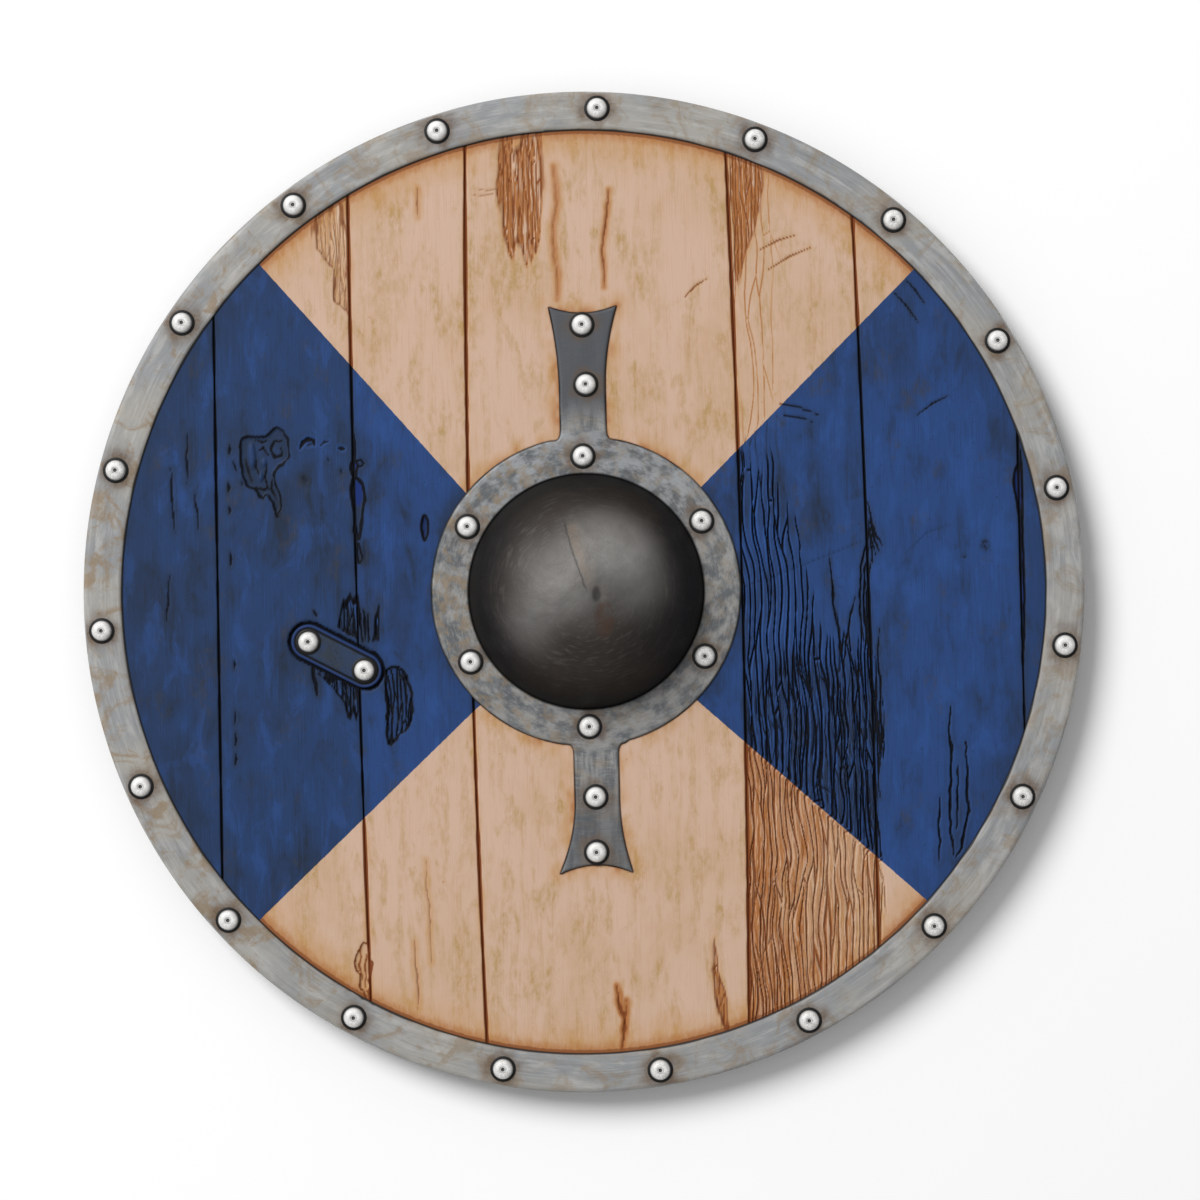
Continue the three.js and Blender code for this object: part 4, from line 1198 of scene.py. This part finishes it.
def dome_finish():
    """Blackened iron with painted grey highlights on its shoulders and crown, painted shade round its foot and on its
    lower right side, a ridge line of painted shade beside a tan rust band, a painted dark spot in its dent, and a rusty
    patch.
    """
    finish = Finish("dome_iron")
    x, y = finish.x - BOSS[0], finish.y - BOSS[1]
    out, round_about = finish.round_place(BOSS)

    def oval_patch(at_x, at_y, wide, tall):
        across, along = (x - at_x) / wide, (y - at_y) / tall
        return ((across * across + along * along) ** 0.5).ease(1, 0)

    hammer = finish.grain((13, 13, 13), 31, detail=5, roughness=0.6)
    speck = finish.grain((1.6, 1.6, 1.6), 32, detail=4)
    rust = finish.grain((8, 14, 12), 33, detail=6, roughness=0.68)
    brush = finish.grain((60, 60, 1.8), 34, detail=3, place=round_about)
    # Painted highlights: grey patches on the shoulders and crown.
    grey = oval_patch(16, 32, 48, 36) * 0.95 + oval_patch(38, 8, 30, 44) * 0.55 + oval_patch(-26, 6, 34, 42) * 0.5
    grey = grey + oval_patch(-40, -22, 32, 34) * 0.4 + oval_patch(0, 0, 40, 40) * 0.45
    colour = finish.mix(grey * (0.45 + hammer * 0.6), paint(54, 49, 46), paint(148, 146, 143))
    colour = finish.mix(brush.ease(0.5, 0.72) * 0.3, colour, paint(108, 104, 98))
    slant = x + y * 0.3 + (rust - 0.5) * 7
    crown = y.ease(-3, 6) * y.ease(52, 44)
    colour = finish.mix(slant.ease(-1, 3) * slant.ease(14, 3) * crown * rust.ease(0.35, 0.6) * 0.35, colour,
                        paint(130, 110, 90))
    # Painted shade: a dark line where a ridge would turn from the light.
    colour = finish.mix((slant + (speck - 0.5) * 1.4).size().ease(1.5, 0.3) * crown * 0.5, colour, paint(34, 30, 27))
    colour = finish.mix(oval_patch(12, -20, 11, 20).ease(0.1, 0.5) * rust.ease(0.35, 0.6) * 0.8, colour, paint(76, 56, 46))
    # Painted shade: a dark spot in the dent.
    colour = finish.mix(oval_patch(7, -2, 5, 9).ease(0.1, 0.7) * 0.55, colour, paint(32, 28, 26))
    # Painted shade: darker on the lower right side, and the steep foot darkens towards the brim.
    painted_side_shade = (x - y * 0.7).ease(34, 84) * y.ease(6, -20)
    edge = (out + (hammer - 0.5) * 12).ease(50, 78)
    colour = finish.mix(edge.most(painted_side_shade * 0.7), colour, paint(14, 12, 11))
    rough = 0.5 + hammer * 0.14 + speck * 0.1
    height = hammer * 0.9 + speck * 0.15 + brush * 0.12
    return finish.done(colour, rough, 0.35, height, 0.7, **{"Specular IOR Level": 0.4})


def rivet_finish():
    """A bright struck head with painted shade on its bevel and in its dimple, and a black ring round it that is painted
    shadow and grime.
    """
    finish = Finish("rivet_iron")
    x, y, z = finish.x, finish.y, finish.z
    out = (x * x + y * y) ** 0.5
    tone = finish.field("tone")
    cloud = finish.grain((5, 5, 5), 41, detail=4)
    speck = finish.grain((1.1, 1.1, 1.1), 42, detail=3)
    colour = finish.mix(cloud.ease(0.35, 0.7), paint(214, 213, 211), paint(242, 242, 240))
    colour = finish.mix(tone * speck.ease(0.45, 0.65) * 0.6, colour, paint(150, 144, 136))
    # Painted shade: black in the struck dimple and a dark ring round it.
    ring = (out - 2.1).size().ease(0.55, 0.1) * 0.4
    colour = finish.mix(out.ease(1.55, 1.05) * 0.95 * z.ease(2, 3) + ring, colour, paint(24, 22, 22))
    # Painted shade on the head's bevelled edge.
    colour = finish.mix(out.ease(6.1, 7.0) * 0.6, colour, paint(96, 94, 92))
    # Painted shadow and grime: the black ring round the head.
    colour = finish.mix(out.ease(6.95, 7.25) * 0.98, colour, SHADE_AND_GRIME_BLACK)
    return finish.done(colour, 0.45 + speck * 0.12, 0.12, cloud * 0.3 + speck * 0.1, 0.5,
                       **{"Specular IOR Level": 0.25})


def patch_finish():
    """The repair plate, painted over in blue, with painted shade in its groove and along its foot."""
    finish = Finish("patch_iron")
    edge = finish.field("edge")
    along, aside = patch_place(finish.x, finish.y)
    beyond = (along.size() - PATCH["spacing"] / 2).most(0)
    reach = (beyond * beyond + aside * aside) ** 0.5
    cloud = finish.grain((12, 12, 12), 51, detail=5)
    speck = finish.grain((1.4, 1.4, 1.4), 52, detail=3)
    colour = finish.mix(cloud.ease(0.4, 0.66), paint(42, 58, 84), paint(46, 54, 66))
    colour = finish.mix(speck.ease(0.56, 0.7) * 0.5, colour, paint(24, 32, 46))
    border = (reach + (speck - 0.5) * 1.2).ease(9.9, 10.4)
    colour = finish.mix(border * (0.4 + cloud * 0.7), colour, paint(32, 56, 108))
    # Painted shade: black in the groove and on the lower edge.
    colour = finish.mix((reach - 9.4).size().ease(0.9, 0.4) * 0.95 + edge * 0.9, colour, INK)
    return finish.done(colour, 0.5 + speck * 0.2, 0.05, speck * 0.2 + cloud * 0.3, 0.6,
                       **{"Specular IOR Level": 0.2})


def bare_wood_finish():
    finish = Finish("bare_wood")
    colour, pores, streak = wood_colour(finish, 61)
    worn = finish.grain((60, 60, 60), 63, detail=3)
    colour = finish.mix(worn.ease(0.5, 0.75) * 0.4, colour, BARE_WOOD_DARK)
    return finish.done(colour, 0.55 + pores * 0.2, 0.0, streak * 0.25 - pores * 0.12, 0.7)


def floor_finish():
    finish = Finish("floor")
    cloud = finish.grain((400, 400, 400), 71, detail=2)
    colour = finish.mix(cloud, paint(254, 254, 254), paint(255, 255, 255))
    return finish.done(colour, 0.9, 0.0)


# ---- Ironwork -------------------------------------------------------------------------------

def rivet_places():
    """Each rivet's node, centre, seat height and the height where its peened end starts."""
    places = {}
    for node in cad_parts:
        if "rivet" in node:
            low, high = span(node)
            places[node] = ((low.x + high.x) / 2, low.y + RIVET_HEAD, high.z - 4, low.z + 1.8)
    return places


RIVETS = rivet_places()


def rivet_grime(x, y, reach, seed):
    """Rust that has crept out from under the rivet heads."""
    total = np.zeros(np.shape(x))
    for across, along, _, _ in RIVETS.values():
        away = np.hypot(x - across, y - along) + 3.5 * noise(x / 6, y / 6, seed)
        total = np.maximum(total, np.exp(-(np.clip(away - 7.5, 0, None) / reach) ** 2))
    return total


def rim_piece(material):
    """The rim channel: a hammered strip with a soft, slightly nicked inner edge."""
    steps = 960
    inner, outer = RIM_INNER_RADIUS, RIM_RADIUS
    top = [(inner + 0.5, RIM_TOP - 0.7), (inner + 1.2, RIM_TOP - 0.15)]
    top += [(r, RIM_TOP) for r in np.linspace(inner + 2.6, outer - 3.4, 9)]
    top += [(outer - 1.6, RIM_TOP - 0.3), (outer - 0.6, RIM_TOP - 1.1), (outer, RIM_TOP - 2.4)]
    side = [(outer, z) for z in np.linspace(RIM_TOP - 4.5, RIM_FOOT + 2.4, 4)]
    back = [(outer - 0.6, RIM_FOOT + 0.7), (outer - 1.8, RIM_FOOT), (outer - 7, RIM_FOOT), (outer - 13, RIM_FOOT),
            (RIM_BACK_RADIUS + 1, RIM_FOOT), (RIM_BACK_RADIUS, RIM_FOOT + 0.7), (RIM_BACK_RADIUS, BACK)]
    within = [(outer - SHEET, BACK), (outer - SHEET, FACE), (inner - 0.5, FACE + 0.02), (inner, FACE + 0.5)]
    profile = top + side + back + within

    def wobble(radius, height, turn):
        around = turn * RIM_RADIUS
        bump = noise(around / 22, radius / 9, 111) + 0.5 * noise(around / 7, radius / 5, 112)
        nick = ease(0.5, 0.9, noise(around / 5, 0.5, 113)) * ease(0.1, 0.6, noise(around / 46, 0.5, 114))
        at_inner = ease(inner + 3, inner, radius) * (height > FACE + 0.3)
        at_outer = ease(outer - 3, outer, radius)
        radius = radius + at_inner * (0.4 * noise(around / 14, 0.5, 115) + 0.9 * nick)
        radius = radius - at_outer * 0.08 * (1 + noise(around / 26, 0.5, 116))
        notch = np.exp(-((around - math.radians(4.4) * RIM_RADIUS) / 3.2) ** 2)
        radius = radius - at_outer * 2.2 * notch
        up = ease(FACE + 1.2, FACE + 1.9, height)
        return radius, height - up * 0.22 * (1 + bump * 0.6) * (1 - at_outer)

    points, count = turned(profile, steps, wobble=wobble)
    faces = [face[::-1] for face in swept_faces(steps, count, True)]
    out = np.hypot(points[:, 0], points[:, 1])
    high = points[:, 2]
    on_top = high > FACE + 1
    grime = rivet_grime(points[:, 0], points[:, 1], 6.0, 117) * on_top
    grime = np.maximum(grime, 0.3 * ease(3.0, 0, out - inner) * on_top)
    # Painted shade: black under the inner lip and along the outer rolled edge.
    edge = np.where(high < FACE + 1.2, 1.0 * (out < inner + 1), 0)
    edge = np.maximum(edge, 0.8 * ease(outer - 1.7, outer - 0.5, out) * on_top)
    made = piece("rim_channel", points, faces, {"grime": grime, "edge": edge}, crease=60)
    return dress(made, material, "rim_iron", "rim")


def slab(name, outer, holes, bottom, top, step, skirt, relief, crease=55):
    """A plate with soft edges: its outline turns left, its holes turn right. Its foot spreads into a skirt."""
    shell = Shell()
    drops = ((0.0, 0.8), (0.35, 0.3), (0.9, 0.05), (1.8, 0.0))
    rings = [[moved_in(loop, away) for away, _ in drops] for loop in [outer] + holes]
    low, high = outer.min(axis=0), outer.max(axis=0)
    grid_x, grid_y = np.meshgrid(np.arange(low[0], high[0], step), np.arange(low[1], high[1], step))
    grid_x, grid_y = grid_x.ravel(), grid_y.ravel()
    kept = inside(rings[0][-1], grid_x, grid_y)
    kept &= loop_distance(outer, grid_x, grid_y) > 1.8 + step * 0.6
    for hole in holes:
        kept &= ~inside(hole, grid_x, grid_y) & (loop_distance(hole, grid_x, grid_y) > 1.8 + step * 0.6)
    flat, faces = fill([ring[-1] for ring in rings], np.stack([grid_x[kept], grid_y[kept]], axis=1))
    drop = relief(flat[:, 0], flat[:, 1])
    shell.add(np.column_stack([flat, top - drop]), faces)
    for loops in rings:
        for (upper, (_, high_drop)), (lower, (_, low_drop)) in zip(
            list(zip(loops, drops))[:0:-1], list(zip(loops, drops))[-2::-1],
        ):
            upper_z = top - high_drop - relief(upper[:, 0], upper[:, 1])
            lower_z = top - low_drop - relief(lower[:, 0], lower[:, 1])
            shell.strip(np.column_stack([lower, lower_z]), np.column_stack([upper, upper_z]))
    feet = []
    for loops in rings:
        edge = loops[0]
        foot = moved_in(edge, -skirt)
        feet.append(foot)
        edge_z = top - drops[0][1] - relief(edge[:, 0], edge[:, 1])
        shell.strip(np.column_stack([foot, np.full(len(foot), bottom)]), np.column_stack([edge, edge_z]))
    shell.cap(feet, bottom, upwards=False)
    made = piece(name, shell.all_points(), shell.faces, crease=crease)
    return weld(made)


def give_fields(made, **fields):
    """Puts fields on a welded piece; each one is worked out from its points in millimetres."""
    places = np.zeros(len(made.data.vertices) * 3)
    made.data.vertices.foreach_get("co", places)
    x, y, z = (places.reshape(-1, 3) * MM).T
    for label, work_out in fields.items():
        field = made.data.attributes.new(label, "FLOAT", "POINT")
        field.data.foreach_set("value", np.asarray(work_out(x, y, z), np.float32))
    made.data.polygons.foreach_set("use_smooth", [True] * len(made.data.polygons))
    made.data.set_sharp_from_angle(angle=math.radians(50))
    return made


def plate_piece(material):
    """The boss plate: a flat ring with two arms that flare like a fish's tail."""
    hole = ring_loop(DOME_RADIUS + 0.2, 160, BOSS)[::-1]

    def relief(x, y):
        return 0.12 + 0.1 * noise(x / 9, y / 12, 121) + 0.05 * noise(x / 4, y / 4, 122)

    made = slab("boss_ring", PLATE_OUTLINE, [hole], FACE + 0.02, PLATE_TOP, 2.0, 0.9, relief)

    def edge(x, y, z):
        # Painted shade on the sloping edge and at the joint with the dome.
        low = ease(PLATE_TOP - 0.75, PLATE_TOP - 1.1, z)
        joint_shade = ease(DOME_RADIUS + 2.2, DOME_RADIUS + 0.6, np.hypot(x - BOSS[0], y - BOSS[1]))
        return np.maximum(low, joint_shade)

    give_fields(made, grime=lambda x, y, z: rivet_grime(x, y, 4.5, 123), edge=edge)
    return dress(made, material, "plate_iron", "boss_plate")


def dome_piece(material):
    """The boss: a raised cap with hammer marks and one dent beside its crown, and a brim below."""
    rise = DOME_TOP - PLATE_TOP
    sphere = (DOME_RADIUS ** 2 + rise ** 2) / (2 * rise)
    centre = DOME_TOP - sphere

    def arc(radius, floor, count):
        foot = math.asin((floor - centre) / radius)
        turn = foot + (math.pi / 2 - foot) * np.linspace(0, 1, count)
        return [(radius * math.cos(a), centre + radius * math.sin(a)) for a in turn]

    brim = FACE - DOME_SHEET
    outer = arc(sphere, PLATE_TOP, 56)
    outer[-1] = (0.05, DOME_TOP)
    inner = arc(sphere - DOME_SHEET, brim, 22)[::-1]
    inner[0] = (0.05, DOME_TOP - DOME_SHEET)
    profile = inner + [(BRIM_RADIUS, brim), (BRIM_RADIUS, FACE - 0.02), (DOME_RADIUS - 0.05, FACE - 0.02)] + outer
    steps = 224

    def wobble(radius, height, turn):
        x, y = radius * np.cos(turn), radius * np.sin(turn)
        outside = height > centre + np.sqrt(np.clip((sphere - 0.75) ** 2 - radius ** 2, 0, None))
        marks = 0.3 * noise(x / 12, y / 12, 133) + 0.16 * noise(x / 7, y / 7, 131) + 0.1 * noise(x / 3.5, y / 3.5, 132)
        dent = 1.1 * np.exp(-(((x - 9) / 3.6) ** 2 + ((y + 4) / 10) ** 2))
        return radius, height - np.where(outside, (marks + 0.45 + dent) * ease(81, 74, radius), 0)

    points, count = turned(profile, steps, BOSS, wobble)
    made = piece("boss_cap", points, swept_faces(steps, count, False), crease=60)
    work_in = weld(made, 0.15)
    return dress(work_in, material, "dome_iron", "boss_dome")


def patch_piece(material):
    """The repair plate: a long plate with round ends and a rolled border with a groove inside it."""
    angle = math.radians(PATCH["angle"])
    half = PATCH["spacing"] / 2
    turn = np.linspace(-math.pi / 2, math.pi / 2, 24)
    right = np.stack([half + PATCH_HALF * np.cos(turn), PATCH_HALF * np.sin(turn)], axis=1)
    local = np.vstack([right, -right])
    turned_in = np.array([[math.cos(angle), math.sin(angle)], [-math.sin(angle), math.cos(angle)]])
    outline = local @ turned_in + (PATCH["x"], PATCH["y"])
    low, high = span("patch_plate")

    def relief(x, y):
        reach = patch_reach(x, y)
        return 0.1 + 0.8 * np.exp(-((reach - 9.4) / 1.0) ** 2) + 0.08 * noise(x / 4, y / 4, 141)

    made = slab("repair_plate", outline, [], low.z, high.z, 1.0, 0.4, relief)

    def edge(x, y, z):
        # Painted shade in the groove and along the lower edge.
        groove = np.exp(-((patch_reach(x, y) - 9.4) / 0.7) ** 2)
        return np.maximum(groove, ease(high.z - 1.0, high.z - 2.0, z))

    give_fields(made, edge=edge)
    return dress(made, material, "patch_iron", "patch_plate")


def rivet_piece(node, number, material):
    """A bevelled head with a struck dimple, on a thin collar that carries a ring of painted shadow and grime, with its
    peened end behind.
    """
    across, along, seat, peen = RIVETS[node]
    length = seat - peen
    profile = [
        (0.02, 2.9), (0.7, 2.95), (1.2, 3.4), (1.5, 3.8), (2.1, 3.85), (2.5, 3.95), (4.0, 3.9), (5.3, 3.5),
        (6.2, 2.8), (6.8, 1.8), (7.05, 0.9), (7.1, 0.4), (7.7, 0.36), (8.5, 0.3), (9.0, 0.02), (2.5, 0.0),
        (2.5, -length), (4.6, -length), (4.2, -length - 0.8), (2.8, -length - 1.5), (0.02, -length - 1.8),
    ]
    steps = 36

    def wobble(radius, height, turn):
        struck = 0.18 * noise(np.cos(turn) * 1.4 + radius / 5, np.sin(turn) * 1.4 + number, 151)
        head = ease(0.6, 2.0, height)
        return radius * (1 + 0.02 * head * noise(np.cos(turn) + 3 * number, np.sin(turn), 152)), \
            height - head * np.abs(struck)

    points, count = turned(profile, steps, wobble=wobble)
    faces = [face[::-1] for face in swept_faces(steps, count, False)]
    tone = np.full(len(points), 0.5 + 0.5 * float(noise(number * 0.37, 0.5, 153)))
    made = piece("stud_" + node, points, faces, {"tone": tone}, crease=45)
    weld(made, 0.06)
    made.location = (across / MM, along / MM, seat / MM)
    return dress(made, material, "rivet_iron", node)


# ---- Battens --------------------------------------------------------------------------------

def batten_piece(node, material):
    """A bar with eased edges and slightly uneven sides."""
    low, high = span(node)
    middle, half = (low.y + high.y) / 2, (high.y - low.y) / 2
    edge = 3.0
    section = [
        (-half, BACK), (-half, 11), (-half, edge + 1.5), (-half + 0.9, 1.3), (-half + edge, 0.15),
    ]
    inner = np.linspace(-half + edge + 1.5, half - edge - 1.5, 9)
    section += [(across, 0.0) for across in inner]
    section += [(-across, up) for across, up in section[:5]][::-1]
    section = np.array(section)
    share = np.linspace(-1, 1, 160)
    reach = np.sqrt(318 ** 2 - np.clip(np.abs(middle + section[:, 0]), 0, 300) ** 2)
    along = share[:, None] * reach[None, :]
    across = np.repeat(section[:, 0][None, :], len(share), axis=0)
    up = np.repeat(section[:, 1][None, :], len(share), axis=0)
    wave = 0.35 * noise(along / 40, across / 9, 161 + int(middle)) + 0.35
    sign = np.sign(across)
    side = ease(half - 2.5, half, np.abs(across))
    points = np.stack([along, middle + across - sign * side * wave, up], axis=2).reshape(-1, 3)
    count = len(section)
    faces = [
        (k * count + j, k * count + j + 1, (k + 1) * count + j + 1, (k + 1) * count + j)
        for k in range(len(share) - 1) for j in range(count - 1)
    ]
    faces += [(k * count + count - 1, k * count, (k + 1) * count, (k + 1) * count + count - 1)
              for k in range(len(share) - 1)]
    faces += [tuple(range(count))[::-1], tuple((len(share) - 1) * count + j for j in range(count))]
    made = weld(piece(node.replace("batten", "bar"), points, faces, crease=40))
    give_fields(made)
    return dress(made, material, "bare_wood", node)


# ---- The shield -----------------------------------------------------------------------------

PLANK_GRIDS = [
    (0.95, 1.5, 0.1), (0.85, 1.3, 0.15), (0.85, 1.5, 0.8), (1.08, 1.45, 0.9), (0.6, 1.6, 0.75),
    (0.85, 1.4, 0.9), (0.85, 1.5, 0.6),
]


def build_shield():
    board = board_finish()
    for index, (across_step, along_step, tone) in enumerate(PLANK_GRIDS):
        slot_name = "cream_boards" if index in (2, 3, 4) else "blue_boards"
        dress(plank(index, across_step, along_step, tone), board, slot_name, f"plank_{index + 1}")
    rim_piece(rim_finish())
    plate_piece(plate_finish())
    dome_piece(dome_finish())
    patch_piece(patch_finish())
    stud = rivet_finish()
    for number, node in enumerate(sorted(RIVETS)):
        rivet_piece(node, number, stud)
    bare = bare_wood_finish()
    for node in ("upper_batten", "grip_batten", "lower_batten"):
        batten_piece(node, bare)


def lay_floor():
    half = 6.0
    corners = [(-half, -half, 0), (half, -half, 0), (half, half, 0), (-half, half, 0)]
    mesh = bpy.data.meshes.new("floor")
    mesh.from_pydata(corners, [], [(0, 1, 2, 3)])
    mesh.materials.append(floor_finish())
    floor = bpy.data.objects.new("floor", mesh)
    bpy.context.scene.collection.objects.link(floor)


def hang_light(name, at, size, watts):
    """A soft lamp that faces the shield."""
    lamp = bpy.data.lights.new(name, "AREA")
    lamp.shape = "DISK"
    lamp.size = size
    lamp.energy = watts
    light = bpy.data.objects.new(name, lamp)
    light.location = at
    light.rotation_euler = (-Vector(at)).to_track_quat("-Z", "Y").to_euler()
    bpy.context.scene.collection.objects.link(light)


def light_studio():
    world = bpy.data.worlds.new("studio")
    world.use_nodes = True
    background = world.node_tree.nodes["Background"]
    background.inputs["Color"].default_value = (1, 1, 1, 1)
    background.inputs["Strength"].default_value = 0.40
    bpy.context.scene.world = world
    hang_light("key", (-4.0, 4.0, 5.66), 4.2, 590)


def set_camera():
    """Straight above, turned a little, with the shield just off the middle."""
    roll = math.radians(-1.4)
    width = 0.8383
    lens, sensor = 100, 36
    right, up = Vector((math.cos(roll), math.sin(roll), 0)), Vector((-math.sin(roll), math.cos(roll), 0))
    lamp = bpy.data.cameras.new("camera")
    lamp.lens = lens
    lamp.sensor_width = sensor
    lamp.clip_end = 50
    camera = bpy.data.objects.new("camera", lamp)
    camera.location = right * 0.01118 - up * 0.00559 + Vector((0, 0, RIM_TOP / MM + width * lens / sensor))
    camera.rotation_euler = (0, 0, roll)
    bpy.context.scene.collection.objects.link(camera)
    bpy.context.scene.camera = camera


set_camera()
light_studio()
lay_floor()
build_shield()
bpy.context.scene.view_settings.view_transform = "Standard"
